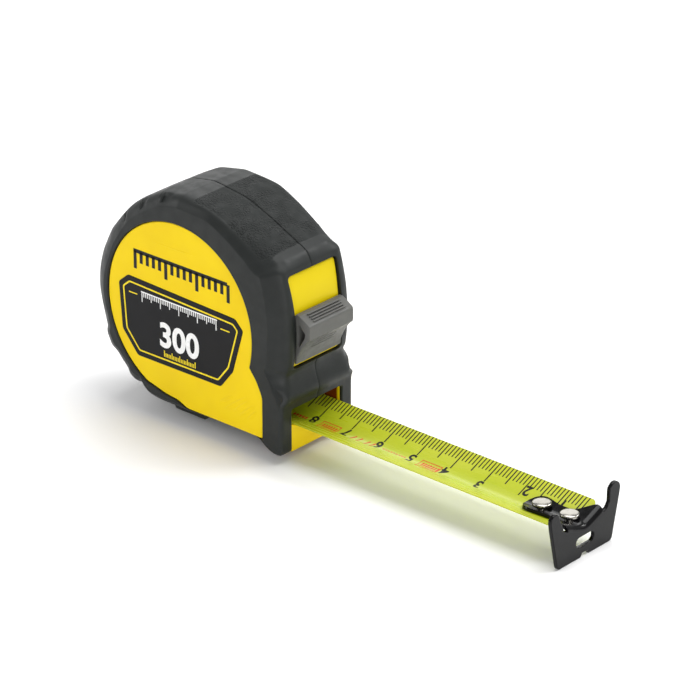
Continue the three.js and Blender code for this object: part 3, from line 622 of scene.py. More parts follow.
class Look:
    """A small hand for building a material's nodes. Coordinates are the piece's own, in metres."""

    def __init__(self, name, color, roughness, metallic=0.0, **sockets):
        self.material = bpy.data.materials.new(name)
        self.material.use_nodes = True
        self.tree = self.material.node_tree
        self.shader = self.tree.nodes["Principled BSDF"]
        self.shader.inputs["Base Color"].default_value = (*color, 1)
        self.shader.inputs["Roughness"].default_value = roughness
        self.shader.inputs["Metallic"].default_value = metallic
        for socket, value in sockets.items():
            self.shader.inputs[socket.replace("_", " ")].default_value = value
        self.coordinates = self.tree.nodes.new("ShaderNodeTexCoord").outputs["Object"]

    def node(self, kind, values=(), **settings):
        node = self.tree.nodes.new(kind)
        for key, value in settings.items():
            setattr(node, key, value)
        for socket, value in dict(values).items():
            if isinstance(value, bpy.types.NodeSocket):
                self.tree.links.new(value, node.inputs[socket])
            else:
                node.inputs[socket].default_value = value
        return node

    def noise(self, size, detail=3.0, stretch=(1, 1, 1)):
        """Noise with features of about size millimetres."""
        place = self.node("ShaderNodeMapping", {"Vector": self.coordinates, "Scale": stretch}).outputs[0]
        values = {"Vector": place, "Scale": 1 / (size * MM), "Detail": detail}
        return self.node("ShaderNodeTexNoise", values).outputs["Fac"]

    def cells(self, size):
        """Distance to the nearest of scattered points about size millimetres apart."""
        values = {"Vector": self.coordinates, "Scale": 1 / (size * MM), "Smoothness": 0.6}
        return self.node("ShaderNodeTexVoronoi", values, feature="SMOOTH_F1").outputs["Distance"]

    def between(self, value, low, high, out_low=0.0, out_high=1.0):
        """Maps a value from one range to another, smoothly and held at the ends."""
        values = {"Value": value, "From Min": low, "From Max": high, "To Min": out_low, "To Max": out_high}
        return self.node("ShaderNodeMapRange", values, interpolation_type="SMOOTHSTEP").outputs["Result"]

    def math(self, operation, a, b=0.0):
        return self.node("ShaderNodeMath", {0: a, 1: b}, operation=operation).outputs[0]

    def all_of(self, first, *others):
        """The product of several masks."""
        for other in others:
            first = self.math("MULTIPLY", first, other)
        return first

    def axis(self, letter):
        """One coordinate, in metres."""
        return self.node("ShaderNodeSeparateXYZ", {0: self.coordinates}).outputs[letter]

    def mix(self, factor, a, b):
        """A colour between a and b."""
        node = self.node("ShaderNodeMix", data_type="RGBA")
        for socket, value in ((0, factor), (6, a), (7, b)):
            if isinstance(value, bpy.types.NodeSocket):
                self.tree.links.new(value, node.inputs[socket])
            else:
                node.inputs[socket].default_value = value if socket == 0 else (*value, 1)
        return node.outputs[2]

    def color(self, socket):
        self.tree.links.new(socket, self.shader.inputs["Base Color"])

    def roughness(self, socket):
        self.tree.links.new(socket, self.shader.inputs["Roughness"])

    def wander(self, size, detail, low, high, stretch=(1, 1, 1)):
        """A value that wanders between two others."""
        return self.between(self.noise(size, detail, stretch), 0.3, 0.7, low, high)

    def bump(self, height, depth):
        """Bump from a height of 0 to 1, with its full depth in millimetres. Calls add up."""
        earlier = self.shader.inputs["Normal"].links
        node = self.node("ShaderNodeBump", {"Height": height, "Distance": depth * MM})
        if earlier:
            self.tree.links.new(earlier[0].from_socket, node.inputs["Normal"])
        self.tree.links.new(node.outputs[0], self.shader.inputs["Normal"])


def rubber_look():
    """Charcoal rubber: satin with a fine grain, and pebbles on the top field."""
    dark, light = (0.007, 0.009, 0.0085), (0.013, 0.0155, 0.0145)
    look = Look("rubber_charcoal", dark, 0.5, Specular_IOR_Level=0.34)
    x, y, z = (look.axis(letter) for letter in "XYZ")
    along = [look.between(x, 0.0036, 0.0044), look.between(x, 0.0272, 0.0266)]
    within = look.between(look.math("ABSOLUTE", y), 0.0112, 0.0106)
    field = look.all_of(*along, within, look.between(z, 0.040, 0.042))
    pebbles = look.between(look.cells(0.5), 0.15, 0.6, 1, 0)
    patchy = look.between(look.noise(5, 2), 0.35, 0.62)
    look.color(look.mix(look.math("MULTIPLY", look.noise(9, 4), 0.9), dark, light))
    look.roughness(look.math("ADD", look.wander(3, 5, 0.42, 0.56), look.math("MULTIPLY", field, 0.25)))
    look.bump(look.noise(0.25, 4), 0.012)
    look.bump(look.all_of(field, patchy, pebbles), 0.22)
    return look.material


def yellow_look(name, dark, light):
    """Yellow moulded plastic, satin, with a fine spark texture, and a painted shade of deep orange-brown
    inside the mouth.
    """
    look = Look(name, dark, 0.36, Specular_IOR_Level=0.14)
    body = look.mix(look.between(look.noise(14, 3), 0.3, 0.7), dark, light)
    # Painted shade: inside the mouth, behind its front, the yellow is painted a deep orange-brown to stand
    # for the shade that falls there.
    narrow = look.between(look.math("ABSOLUTE", look.axis("Y")), 0.0091, 0.0088)
    low = look.between(look.axis("Z"), 0.0125, 0.0115)
    inside = look.all_of(look.between(look.axis("X"), 0.0312, 0.0306), narrow, low)
    look.color(look.mix(inside, body, (0.16, 0.028, 0.001)))
    look.roughness(look.wander(4, 5, 0.30, 0.42))
    look.bump(look.noise(0.3, 3), 0.006)
    return look.material


def plain_look(name, tones, cloud, rough, grain=None, metallic=0.0, **sockets):
    """A material that drifts between two tones, with an uneven roughness and a fine grain.

    cloud: size and detail of the drift, and its range. rough: the numbers of wander. grain: those of noise,
    and a depth."""
    look = Look(name, tones[0], rough[2], metallic, **sockets)
    drift = look.noise(*cloud[:2])
    if cloud[2:]:
        drift = look.between(drift, *cloud[2:])
    look.color(look.mix(drift, *tones))
    look.roughness(look.wander(*rough))
    if grain:
        look.bump(look.noise(*grain[:-1]), grain[-1])
    return look.material


def ink_look(name, color):
    """Printing ink, slightly uneven."""
    tones = (color, tuple(min(1, 1.25 * c + 0.004) for c in color))
    return plain_look(name, tones, (0.8, 5, 0.45, 0.75), (1.5, 3, 0.34, 0.48), Specular_IOR_Level=0.15)


def blade_look():
    """Lime-yellow lacquer, brushed along the blade and glossy, with a painted sheen: lighter and yellower
    towards both edges of the cup, greener in the middle.
    """
    coat = {"Coat_Weight": 0.12, "Coat_Roughness": 0.15}
    look = Look("lacquer_lime", (0.42, 0.50, 0.02), 0.3, Specular_IOR_Level=0.35, **coat)
    across = look.math("ABSOLUTE", look.axis("Y"))
    # Painted sheen: the colour is painted lighter and yellower from the middle of the cup out to its edges,
    # for the light that the curved edges catch.
    edge = look.between(across, 0.0015, 0.0075)
    body = look.mix(edge, (0.38, 0.46, 0.010), (0.46, 0.51, 0.018))
    streaks = look.between(look.noise(6, 4, (0.3, 1, 1)), 0.35, 0.65, 0, 0.35)
    look.color(look.mix(streaks, body, (0.50, 0.50, 0.03)))
    look.roughness(look.wander(2, 4, 0.22, 0.34, (0.1, 1, 1)))
    look.bump(look.noise(0.5, 3, (0.15, 1, 1)), 0.0015)
    return look.material


def metal_look(name, color, roughness, grain, stretch=(1, 1, 1)):
    """Bare or plated metal with a fine grain."""
    tones = (color, tuple(0.8 * c for c in color))
    rough = (grain, 4, 0.7 * roughness, 1.3 * roughness, stretch)
    return plain_look(name, tones, (3, 4, 0.4, 0.7), rough, (grain / 2, 3, stretch, 0.004), 1.0)


def nylon_look(name, color):
    tones = (color, tuple(0.85 * c for c in color))
    return plain_look(name, tones, (4, 4), (1.5, 3, 0.38, 0.55), (0.3, 3, 0.01))


RUBBER_LOOK = rubber_look()
YELLOW_LOOK = yellow_look("plastic_yellow", (0.84, 0.585, 0.002), (0.89, 0.64, 0.003))
# Painted shade: the window panel is the same yellow plastic as the shell, painted darker here as a shaded
# copy to stand for the dimmer light on it.
SHADED_WINDOW_LOOK = yellow_look("plastic_yellow_window_shaded", (0.64, 0.485, 0.002), (0.68, 0.525, 0.003))
GREY_LOOK = plain_look(
    "plastic_grey", [(0.080, 0.080, 0.074), (0.108, 0.108, 0.101)],
    (5, 4), (1.2, 5, 0.36, 0.52), (0.2, 3, 0.01), Specular_IOR_Level=0.35)
LABEL_LOOK = plain_look(
    "label_black", [(0.008, 0.008, 0.009), (0.014, 0.014, 0.015)],
    (8, 3), (3, 4, 0.28, 0.40), (0.4, 3, 0.003), Specular_IOR_Level=0.12)
COATED_LOOK = plain_look(
    "coating_black", [(0.002, 0.002, 0.0022), (0.005, 0.005, 0.0055)],
    (2, 4, 0.4, 0.7), (1.5, 4, 0.11, 0.18), (0.9, 2, 0.006), Specular_IOR_Level=0.2)
BLADE_LOOK = blade_look()
BLACK_INK = ink_look("ink_black", (0.010, 0.011, 0.006))
LABEL_INK = ink_look("ink_dark", (0.016, 0.016, 0.016))
RED_INK = ink_look("ink_red", (0.52, 0.035, 0.008))
WHITE_INK = ink_look("ink_white", (0.86, 0.86, 0.85))
YELLOW_INK = ink_look("ink_yellow", (0.86, 0.66, 0.02))
NICKEL_LOOK = metal_look("nickel_bright", (0.36, 0.345, 0.31), 0.2, 0.5)
SPRING_LOOK = metal_look("steel_spring", (0.34, 0.35, 0.36), 0.32, 0.4, (0.15, 1, 1))
ZINC_LOOK = metal_look("steel_zinc", (0.60, 0.60, 0.60), 0.28, 0.4)
NYLON_LOOK = nylon_look("nylon_natural", (0.66, 0.63, 0.56))
PAD_LOOK = nylon_look("rubber_pad", (0.03, 0.03, 0.03))


def paint(piece, look):
    piece.data.materials.clear()
    piece.data.materials.append(look)


def dress(piece, look, body, slot, *nodes):
    """Gives a piece its material, the body that it moves with and the CAD nodes that it stands for."""
    paint(piece, look)
    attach(piece, body)
    if nodes:
        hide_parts(*nodes)


# ---- yellow shells ----


RIBS = [
    ((12.6, 8.3), (17.0, 11.2)),
    ((14.2, 7.0), (21.0, 12.1)),
    ((17.0, 7.3), (22.2, 11.6)),
    ((19.0, 6.8), (23.8, 10.9)),
    ((21.4, 6.5), (24.6, 9.6)),
]
MOULD_LINE = ((-8.4, 43.3), (5.6, 43.6))


def ridge(name, start, end, half, height, y):
    """A low rounded ridge on a face that looks to -Y, fading out at both ends."""
    start, end = Vector(start), Vector(end)
    along = (end - start).normalized()
    across = Vector((-along.y, along.x))
    rings = []
    for share in np.linspace(0, 1, 13):
        swell = math.sin(math.pi * min(max(share, 0.04), 0.96)) ** 0.5
        centre = start.lerp(end, share)
        ring = []
        for k in range(9):
            turn = math.pi * k / 8
            place = centre + across * (half * swell * math.cos(turn))
            ring.append((place.x, y - height * swell * math.sin(turn), place.y))
        for side in (-1, 1):
            place = centre + across * (side * half * swell)
            ring.append((place.x, y + 0.3, place.y))
        rings.append(ring)
    return loft(name, rings)


def add_ridges(shell):
    for start, end in RIBS:
        combine(shell, ridge("rib", start, end, 0.42, 0.13, -PANEL_Y), "UNION")
    combine(shell, ridge("mould_line", *MOULD_LINE, 0.16, 0.04, -PANEL_Y), "UNION")


def shell_half(name):
    """The yellow shell of the label side, with its raised round panel."""
    plain = round_off(outline_rows(plain_stretches()))
    shell = half_envelope(name, plain, 2.2, SHELL_Y, 1.9, seam=0.15, step=0.8)
    edge = [(-SHELL_Y + 0.1, 0), (-PANEL_Y + 0.3, 0), (-PANEL_Y + 0.14, -0.04), (-PANEL_Y + 0.04, -0.13)]
    combine(shell, across_panel("panel", edge + [(-PANEL_Y, -0.3)]), "UNION")
    add_ridges(shell)
    combine(shell, half_envelope("hollow", plain, SHELL_DEPTH, CAVITY_Y, 2.9, seam=-1.0, step=0.8))
    combine(shell, block("hollow_low", (-5, -CAVITY_Y + 2, 2.9), (FRONT_X - 4, 1, 12)))
    combine(shell, block("lever_slot", (26, -3.5, WINDOW["low"]), (40, 1, WINDOW["high"])))
    combine(shell, block("guide_space", (26.7, -9.45, -1), (40, 1, MOUTH["top"] + 0.3)))
    return shell


def make_shells():
    left = shell_half("shell_left")
    right = copy_mirrored(left, "shell_right")
    well = [(10.8, 1.75), (PANEL_Y - 0.2, 1.75), (PANEL_Y, 2.0), (PANEL_Y + 1, 2.0)]
    for i in (1, 2, 3, 4):
        low, high = node_box(f"case_screw_{i}")
        x, z = (low.x + high.x) / 2, (low.z + high.z) / 2
        rings = [[(a, y, b) for a, b in arc(x, z, radius, 0, 360, 40)[:-1]] for y, radius in well]
        combine(right, loft("well", rings))
    smooth(left)
    smooth(right)
    return left, right


# ---- graphics on the label side ----

BADGE_CORNERS = [(-19.7, 29.9), (-16.6, 32.5), (18.0, 31.4), (20.5, 29.0)]
BADGE_CORNERS += [(17.1, 17.5), (13.1, 12.5), (-13.9, 12.2), (-18.8, 17.9)]
LABEL_INK_DEPTH = 0.03


def shrink(corners, margin):
    """A convex outline pulled in by a margin."""
    corners = [Vector(c) for c in corners]
    lines = []
    for a, b in zip(corners, corners[1:] + corners[:1]):
        along = (b - a).normalized()
        inward = Vector((along.y, -along.x))
        lines.append((a + inward * margin, along))
    inner = []
    for (p, u), (q, v) in zip(lines[-1:] + lines[:-1], lines):
        across = u.x * v.y - u.y * v.x
        t = ((q - p).x * v.y - (q - p).y * v.x) / across
        inner.append(tuple(p + u * t))
    return inner


def fillet(corners, radius):
    """A polygon with round corners."""
    corners = [Vector(c) for c in corners]
    points = []
    for before, here, after in zip(corners[-1:] + corners[:-1], corners, corners[1:] + corners[:1]):
        a = here + (before - here).normalized() * radius
        b = here + (after - here).normalized() * radius
        for t in np.linspace(0, 1, 6):
            points.append(tuple(a * (1 - t) ** 2 + here * 2 * t * (1 - t) + b * t**2))
    return points


def figure(name, digits, height, thickness, bold):
    """Flat figures of a given height, centred on the origin of the XY plane."""
    curve = bpy.data.curves.new(name, "FONT")
    curve.body = digits
    curve.align_x = "CENTER"
    curve.offset = bold
    curve.extrude = 0.05
    curve.resolution_u = 6
    piece = settle(add_object(name, curve))
    points = np.array([v.co for v in piece.data.vertices])
    low, high = points.min(0), points.max(0)
    scale = height * MM / (high[1] - low[1])
    middle = (low + high) / 2
    size = Matrix.Diagonal((scale, scale, thickness * MM / 0.1, 1))
    piece.data.transform(size @ Matrix.Translation(-Vector(middle)))
    weld(piece, 0.0001)
    return piece


def strip(name, x0, z0, x1, z1, thickness=LABEL_INK_DEPTH):
    """A printed bar between two corners, in the XY plane."""
    return plate(name, [[(x0, z0), (x1, z0), (x1, z1), (x0, z1)]], thickness)


def badge_base():
    """The black label plate."""
    return stand_up(plate("badge", [fillet(BADGE_CORNERS, 0.6)], 0.5, 0.12), -PANEL_Y + 0.12)


def badge_prints():
    """White and yellow printing on the label: an inline border, two scales and a large number."""
    y = -PANEL_Y - 0.145
    outer = fillet(shrink(BADGE_CORNERS, 1.35), 0.5)
    inner = fillet(shrink(BADGE_CORNERS, 1.75), 0.4)
    parts = [plate("badge_border", [outer, inner[::-1]], LABEL_INK_DEPTH)]
    parts += [strip("badge_dash", -16.3, 28.1, -13.6, 28.4), strip("badge_dash", 13.4, 27.4, 16.3, 27.7)]
    for k, x in enumerate(np.arange(-5, 5.01, 0.5)):
        parts.append(strip("badge_foot", x - 0.14, 14.6, x + 0.14, 15.6 + 0.6 * (k % 5 == 0)))
    yellow = stand_up(join("badge_yellow", parts), y)
    scale = []
    for k in range(41):
        x = -12.0 + 0.6 * k
        long = 2.5 if k % 10 == 0 else 1.8 if k % 5 == 0 else 1.1
        scale.append(strip("scale_tick", x - 0.12, 29.2 - long, x + 0.12, 29.2))
    scale.append(strip("scale_line", -12.3, 29.2, 12.3, 29.5))
    number = figure("badge_number", "300", 6.6, LABEL_INK_DEPTH, 0.03)
    number.data.transform(Matrix.Translation(Vector((0, 20.2, 0)) * MM))
    white = stand_up(join("badge_white", [*scale, number]), y)
    return yellow, white


def side_motif():
    """Bold graduations printed on the yellow panel above the label."""
    bars = [strip("motif_bar", -14.6, 38.9, 15.6, 39.9)]
    for k in range(16):
        x = -14.1 + 2.0 * k
        long = 4.6 if k % 5 == 0 else 2.9
        bars.append(strip("motif_bar", x - 0.5, 39.4 - long, x + 0.5, 39.4))
    return stand_up(join("side_motif", bars), -PANEL_Y - 0.012)


# ---- front window panel and mouth ----


def make_window():
    """The yellow panel in the front window, bent round the lock track, with the slot for the lever's neck."""
    margin, corner = 0.25, 0.9
    low, high = WINDOW["low"] + margin, WINDOW["high"] - margin
    near_end = [0.0, 0.05, 0.14, 0.3, 0.5, 0.7, 0.9]
    heights = [low + d for d in near_end] + list(np.linspace(low + 1.2, high - 1.2, 40))
    heights += [high - d for d in near_end[::-1]]
    edge = [(0.3, 0.0), (0.12, 0.04), (0.03, 0.13)]
    rings = []
    for z in heights:
        end = min(z - low, high - z)
        half = window_half(z) - margin - corner + math.sqrt(max(corner**2 - max(corner - end, 0) ** 2, 0))
        front = track_x(PANEL_OUT - 0.3 + math.sqrt(max(0.09 - max(0.3 - end, 0) ** 2, 0)), z)
        side = [(track_x(PANEL_BACK, z), half)] + [(front - back, half - inset) for back, inset in edge]
        side.append((front, half - 0.3))
        rings.append([(x, -y, z) for x, y in side] + [(front, 0, z)] + [(x, y, z) for x, y in reversed(side)])
    piece = loft("window_yellow", rings)
    combine(piece, block("neck_slot", (24, -1.8, 22.9), (40, 1.8, 34.96)))
    return smooth(piece)


def make_guide():
    """The yellow guide in the mouth: floor, side walls and the sloping tongue under the blade."""
    low, high = node_box("mouth_guide")
    floor_top = 2.9
    outer, inner = high.y, high.y - 0.6
    side = [(outer, low.z), (outer, MOUTH["top"]), (inner, MOUTH["top"]), (inner, floor_top)]
    profile = [(-outer, low.z)] + side + [(-y, z) for y, z in side[:0:-1]]
    guide = loft("guide_yellow", [at_x(x, profile) for x in (low.x, high.x - 0.45)])
    half = MOUTH["half"] - 0.12
    notch = RIVETS[0][0].z - 0.3
    lip = [(half, cup_z(half) - 0.45)] + [(y, cup_z(y) - 0.4) for y in np.linspace(8.2, 2.2, 13)]
    lip += [(2.15, notch), (-2.15, notch)] + [(-y, z) for y, z in reversed(lip)]
    lip += [(-half, low.z), (half, low.z)]
    front = plate("guide_front", [lip], 1.0, 0.1)
    turn_to(front, (0, 1, 0), (0, 0, 1), (high.x - 0.5, 0, 0))
    return smooth(join("guide_yellow", [guide, front]))


# ---- lever ----


LEVER_HALF = 7.7
RAMP = [(36.75, 29.8), (35.6, 28.65), (34.55, 27.2), (33.7, 25.7), (33.05, 24.2), (32.6, 22.9)]


def lever_outline():
    """Side view of the lever's face: shelf, ridge, upright and hollow-ground ramp."""
    back = track_arc(PANEL_OUT + 0.6, 22.9, 35.35, 14)
    shelf = [(33.55, 35.3), (33.85, 35.2), (36.5, 33.6), (36.82, 33.2), (36.92, 32.7), (36.86, 30.3)]
    return back + shelf + spline(RAMP, 24)


def grip_bar(x0, z0, x1, z1, half, height):
    """A low rounded bar across the lever, between two points of its side view."""
    along = Vector((x1 - x0, z1 - z0)).normalized()
    out = Vector((-along.y, along.x))
    middle = Vector(((x0 + x1) / 2, (z0 + z1) / 2))
    wide = math.hypot(x1 - x0, z1 - z0) / 2
    ends = [(half, 0.5), (half - 0.25, 0.9), (half - 0.5, 1)]
    rings = []
    for y, swell in [(-y, swell) for y, swell in ends] + ends[::-1]:
        ring = [middle - along * wide * swell - out * 0.3, middle + along * wide * swell - out * 0.3]
        for turn in np.linspace(0, math.pi, 7):
            reach, rise = wide * swell * math.cos(turn), height * swell * math.sin(turn)
            ring.append(middle + along * reach + out * rise)
        rings.append([(p.x, y, p.y) for p in ring])
    return loft("grip_bar", rings)


def make_lever():
    """Thumb lever: slanted shelf, upright, hollow-ground ramp with grip lines, and a pocket in each side."""
    face = plate("lever_face", [lever_outline()], 2 * LEVER_HALF, 0.28)
    stand_up(face)
    outline = fillet([(33.6, 27.2), (34.4, 28.4), (35.35, 30.0), (35.6, 31.2), (33.6, 33.3)], 0.25)
    for side in (-1, 1):
        pocket = plate("lever_pocket", [outline], 8.0)
        combine(face, stand_up(pocket, side * LEVER_HALF))
    for x0, z0 in [(35.05, 27.95), (34.5, 27.15), (34.0, 26.3)]:
        combine(face, block("grip_line", (x0 - 0.2, -3.8, z0 - 0.1), (x0 + 1.5, 3.8, z0 + 0.1)))
    smooth(face)
    inner, outer = (track_arc(PANEL_OUT + gap, 22.75, 35.0, 14) for gap in (0.25, 0.85))
    backing = plate("lever_plate", [inner + outer[::-1]], 2 * LEVER_HALF + 0.05, 0.1)
    stand_up(backing)
    pieces = [face, smooth(backing)]
    for k in range(4):
        x, z = 34.25 + 0.62 * k, 35.05 - 0.375 * k
        pieces.append(smooth(grip_bar(x + 0.2, z, x - 0.02, z + 0.13, 5.6, 0.12)))
    return join("lever_grey", pieces)


# ---- blade ----


def cup_z(y):
    """Height of the blade's top face at a distance from its middle."""
    return CUP["valley"] + CUP["rise"] * (math.hypot(y, CUP["round"]) - CUP["round"])


def make_blade():
    """The cupped strip, with round corners at its end."""
    corner = 1.5
    xs = list(np.linspace(BLADE_LOW.x, BLADE_HIGH.x - corner, 90))
    xs += list(BLADE_HIGH.x - corner + corner * np.sin(np.linspace(0.15, math.pi / 2, 8)))
    across = np.linspace(-1, 1, 41)
    rows = []
    for x in xs:
        inset = max(0.0, x - (BLADE_HIGH.x - corner))
        half = BLADE_HIGH.y - corner + math.sqrt(max(corner**2 - inset**2, 0))
        rows.append([(x, share * half, cup_z(share * half)) for share in across])
    return smooth(sheet("blade_lime", rows, 0.2), 50)


BLADE_INK_DEPTH = 0.02


def on_cup(piece, lift):
    """Lays a flat mesh on the blade: its own height above the XY plane is kept above the cup."""
    with editing(piece) as mesh:
        for y in np.arange(-8, 8.01, 0.4):
            everything = mesh.verts[:] + mesh.edges[:] + mesh.faces[:]
            bmesh.ops.bisect_plane(mesh, geom=everything, plane_co=(0, y * MM, 0), plane_no=(0, 1, 0))
        for vertex in mesh.verts:
            vertex.co.z += (cup_z(vertex.co.y / MM) + lift) * MM


def ticks(start, end):
    """Millimetre graduations on the far half of the blade between two distances from zero."""
    marks = []
    for k in range(start, end + 1):
        low = 2.1 if k % 10 == 0 else 3.5 if k % 5 == 0 else 5.0
        wide = 0.165 if k % 5 == 0 else 0.15
        x = BLADE_ZERO - k
        marks.append(strip("tick", x - wide, low, x + wide, BLADE_HIGH.y - 0.05, BLADE_INK_DEPTH))
    return marks


def blade_figures():
    """Centimetre figures, read from the far side."""
    figures = []
    for k in range(1, 10):
        digit = figure("digit", str(k), 2.9, BLADE_INK_DEPTH, 0.028)
        shift = Vector((BLADE_ZERO - 10 * k - 0.4, 0.55, 0))
        if k <= 2:
            shift += Vector((1.6, 3.3, 0))
        turn = Matrix.Rotation(math.pi, 4, "Z")
        digit.data.transform(Matrix.Translation(shift * MM) @ turn)
        figures.append(digit)
    return figures


def red_marks():
    """Small generic marks in red: boxed dashes and short strokes between the figures."""
    def bar(name, x0, y0, x1, y1):
        marks.append(strip(name, x0, y0, x1, y1, BLADE_INK_DEPTH))

    marks = []
    for x0, x1 in [(33.2, 38.8), (63.6, 69.6)]:
        outer = [(x0, -1.6), (x1, -1.6), (x1, 1.5), (x0, 1.5)]
        inner = [(x0 + 0.2, -1.4), (x0 + 0.2, 1.3), (x1 - 0.2, 1.3), (x1 - 0.2, -1.4)]
        marks.append(plate("red_box", [outer, inner], BLADE_INK_DEPTH))
        for x in np.arange(x0 + 0.8, x1 - 0.6, 0.75):
            bar("red_bar", x, -0.9, x + 0.4, 0.8)
    for x in np.arange(52.6, 59.3, 0.8):
        bar("red_dash", x, -0.15, x + 0.5, 0.2)
    for x in (43.2, 45.0, 47.4, 49.0):
        stroke = [(x, -1.0), (x + 0.4, -1.1), (x + 1.1, 0.7), (x + 0.7, 0.8)]
        marks.append(plate("red_stroke", [stroke], BLADE_INK_DEPTH))
    for x in np.arange(24.8, 28.8, 0.9):
        bar("red_dash", x, -0.4, x + 0.5, 0.6)
    return marks


def make_blade_prints():
    black = join("blade_ticks", [*ticks(4, 92), *blade_figures()])
    red = join("blade_red", red_marks())
    for piece in (black, red):
        on_cup(piece, 0.008)
    return black, red


# ---- hook ----

HOOK_THICKNESS = 1.0
TONGUE = {"tip": 95.2, "radius": 3.4, "waist": 2.75, "flare": 6.3}
TONGUE.update(lift=0.25, thickness=0.8, bend=1.5)


def hook_outline():
    """Front view of the hook plate in y and z: feet, slanted sides and two ears."""
    low, high = HOOK_LOW.z, HOOK_HIGH.z
    half = HOOK_HIGH.y
    foot = [(0.9, low + 0.9), (1.5, low), (8.6, low)] + arc(8.7, low + 1.3, 1.3, -90, -15, 6)
    foot += [(half - 0.35, high - 4), (half, high - 2.0)]
    near_ear = arc(half - 1.5, high - 1.5, 1.5, 0, 165, 10) + [(half - 3.5, high - 2.6), (8.1, 8.2)]
    far_ear = arc(half - 1.95, high - 1.95, 1.95, 0, 180, 14) + [(half - 3.9, 8.1)]
    saddle = [(y, cup_z(y) - 0.35) for y in np.linspace(7.6, -7.6, 31)]
    return foot + far_ear + saddle + [(-y, z) for y, z in reversed(foot + near_ear)]


def make_hook():
    slot = rounded_box(3.1, 0.8, 3.2, 1.1)
    body = plate("hook_plate", [hook_outline(), slot[::-1]], HOOK_THICKNESS, 0.22)
    turn_to(body, (0, 1, 0), (0, 0, 1), (BLADE_ZERO + HOOK_THICKNESS / 2, 0, 0))
    return join("hook_black", [body, make_tongue()])


def tongue_half(x):
    """Half-width of the tongue at X."""
    tip, radius, waist, flare = (TONGUE[key] for key in ("tip", "radius", "waist", "flare"))
    if x < tip + radius:
        return math.sqrt(max(radius**2 - (x - tip - radius) ** 2, 0.0))
    narrow = ease(x, tip + radius, tip + radius + 4.5)
    widen = ease(x, BLADE_ZERO - 6.0, BLADE_ZERO - 0.3)
    return float(radius + (waist - radius) * narrow + (flare - waist) * widen**1.3)


def make_tongue():
    """The tongue on the blade, bent down into the hook plate."""
    tip, radius, bend, thickness = (TONGUE[key] for key in ("tip", "radius", "bend", "thickness"))
    path = [(tip + radius - radius * math.cos(t), 0.0) for t in np.linspace(0.03, math.pi / 2, 14)]
    path += [(x, 0.0) for x in np.linspace(tip + radius + 0.5, BLADE_ZERO - 0.7, 30)]
    centre = BLADE_ZERO + HOOK_THICKNESS - bend
    turns = np.linspace(0.08, math.pi / 2, 10)
    path += [(centre + bend * math.sin(t), bend * (1 - math.cos(t))) for t in turns]
    path += [(BLADE_ZERO + HOOK_THICKNESS - 0.3, bend + 0.7)]
    across = np.linspace(-1, 1, 33)
    rows = []
    for x, drop in path:
        half = tongue_half(min(x, BLADE_ZERO - 0.3))
        rows.append([(x, y, cup_z(y) + TONGUE["lift"] + thickness - drop) for y in across * half])
    rounding = {"width": 0.16 * MM, "segments": 2, "limit_method": "ANGLE", "angle_limit": math.radians(60)}
    return smooth(modify(sheet("tongue", rows, thickness), "BEVEL", **rounding), 45)


def make_rivet(index):
    """A rivet: a solid of revolution with a domed head above the tongue and a flat one under the blade."""
    low, high = RIVETS[index]
    x, top, head, rise = (low.x + high.x) / 2, high.z, (high.x - low.x) / 2, 0.42
    profile = [(0.01, low.z), (1.6, low.z), (1.8, low.z + 0.15), (1.8, low.z + 0.5), (1.0, low.z + 0.5)]
    profile += [(1.0, top - 0.95), (head - 0.12, top - 0.95), (head, top - 0.83), (head, top - 0.5)]
    for t in np.linspace(0.0, math.pi / 2, 12):
        profile.append((max(head * math.cos(t) ** 0.6, 0.01), top - rise + rise * math.sin(t)))
    turns = np.linspace(0, 2 * math.pi, 48, endpoint=False)
    rings = [[(radius * math.cos(t), radius * math.sin(t), z) for t in turns] for radius, z in profile]
    rivet = loft(f"rivet_{index + 1}", rings)
    rivet.data.transform(Matrix.Translation(Vector((x, 0, 0)) * MM))
    return smooth(rivet, 35)


# ---- build ----


def build_object():
    rubber, shells = make_overmoulds(), make_shells()
    for side, cover, shell in zip(("left", "right"), rubber, shells):
        dress(cover, RUBBER_LOOK, "case", "overmould_rubber", f"{side}_overmould")
        dress(shell, YELLOW_LOOK, "case", "case_plastic", f"{side}_shell")
    dress(badge_base(), LABEL_LOOK, "case", "badge_print", "left_badge")
    yellow, white = badge_prints()
    for print_piece, ink in ((yellow, YELLOW_INK), (white, WHITE_INK), (side_motif(), LABEL_INK)):
        dress(print_piece, ink, "case", "badge_print")
    dress(make_window(), SHADED_WINDOW_LOOK, "case", "case_plastic", "window_panel")
    dress(make_guide(), YELLOW_LOOK, "case", "case_plastic", "mouth_guide")
    dress(make_lever(), GREY_LOOK, "lock", "lever_plastic", "lock_lever")
    dress(make_hook(), COATED_LOOK, "hook_end", "hook_steel", "hook")
    for index in (0, 1):
        dress(make_rivet(index), NICKEL_LOOK, "blade", "rivet_nickel", f"hook_rivet_{index + 1}")


def build_blade():
    """The strip and its prints, which run from case to hook."""
    black, red = make_blade_prints()
    blade = make_blade()
    for piece, look in ((blade, BLADE_LOOK), (black, BLACK_INK), (red, RED_INK)):
        paint(piece, look)
        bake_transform(piece)
    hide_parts("blade_strip")


def finish_cad_nodes():
    """Materials of the CAD nodes that stay."""
    looks = [
        (RUBBER_LOOK, ["base_foot"]),
        (NYLON_LOOK, ["lock_plate", "spool_hub", "spool_cover"]),
        (PAD_LOOK, ["brake_pad"]),
        (SPRING_LOOK, ["spring_post", "power_spring", "clip_base", "clip_arm"]),
        (BLADE_LOOK, ["blade_coil"]),
        (ZINC_LOOK, ["case_screw_1", "case_screw_2", "case_screw_3", "case_screw_4", "clip_screw"]),
    ]
    for look, nodes in looks:
        for node in nodes:
            paint(frame["nodes"][node], look)


# ---- stage, light and camera ----


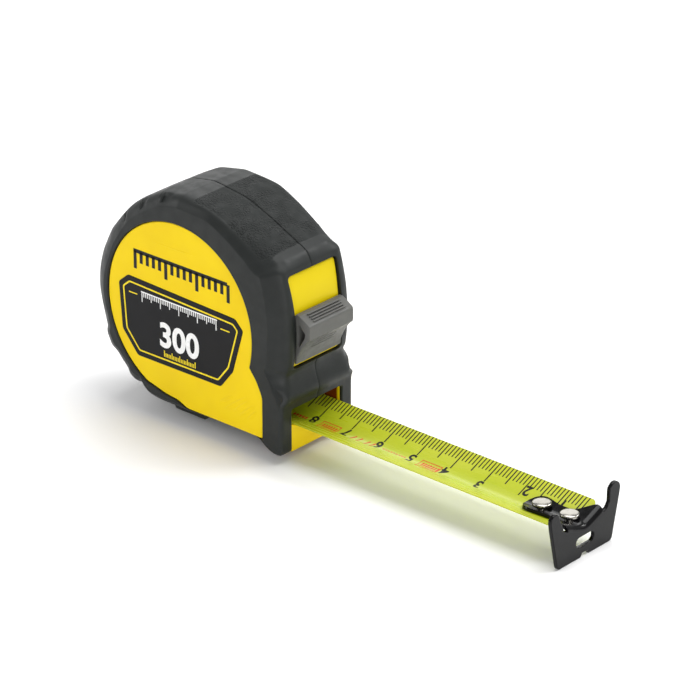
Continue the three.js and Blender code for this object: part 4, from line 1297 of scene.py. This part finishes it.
def build_stage():
    reach = 3000
    corners = [(-reach, -reach, 0), (reach, -reach, 0), (reach, reach, 0), (-reach, reach, 0)]
    floor = add_mesh("floor", corners, [(0, 1, 2, 3)])
    floor.location.z = CAD_BOX[0][2]
    look = Look("floor_white", (0.93, 0.93, 0.93), 0.8)
    look.color(look.mix(look.noise(300, 2), (0.925, 0.925, 0.925), (0.935, 0.935, 0.935)))
    floor.data.materials.append(look.material)
    world = bpy.data.worlds.new("studio")
    world.use_nodes = True
    background = world.node_tree.nodes["Background"].inputs
    background["Color"].default_value = (1, 1, 1, 1)
    background["Strength"].default_value = 0.42
    bpy.context.scene.world = world
    bpy.context.scene.view_settings.view_transform = "Standard"


LIGHTS = {
    "top": ((0.05, 0.2, 0.85), (0.8, 0.5), 6.0),
    "front": ((0.5, -0.7, 0.35), (0.4, 0.4), 1.0),
    "low": ((0.75, -0.35, 0.13), (0.4, 0.2), 1.4),
    "left": ((-0.7, -0.45, 0.35), (0.25, 0.5), 1.8),
    "right_back": ((0.48, 0.70, 0.62), (0.6, 0.5), 1.6),
    "back": ((-0.62, 0.78, 0.5), (0.9, 0.6), 3.0),
    "edge": ((0.42, 0.66, 0.60), (0.45, 0.07), 2.2),
}


def build_lights():
    """Soft boxes aimed at the case: place in metres, size in metres and power in watts."""
    aim = Vector((0.03, 0, 0.03))
    for name, (place, size, power) in LIGHTS.items():
        data = bpy.data.lights.new(name, "AREA")
        data.shape = "RECTANGLE"
        data.size, data.size_y = size
        data.energy = power
        lamp = add_object(name, data)
        lamp.location = place
        lamp.rotation_euler = (aim - Vector(place)).to_track_quat("-Z", "Y").to_euler()


def build_camera():
    azimuth, elevation = math.radians(41.403), math.radians(25.358)
    level = math.cos(elevation)
    ahead = (-math.sin(azimuth) * level, math.cos(azimuth) * level, -math.sin(elevation))
    data = bpy.data.cameras.new("camera")
    data.sensor_width = 36
    data.lens = 195.26
    data.clip_end = 10
    camera = add_object("camera", data)
    camera.location = (0.56514, -0.59274, 0.40128)
    camera.rotation_euler = Vector(ahead).to_track_quat("-Z", "Y").to_euler()
    bpy.context.scene.camera = camera


build_camera()
build_stage()
build_lights()
build_object()
build_blade()
finish_cad_nodes()
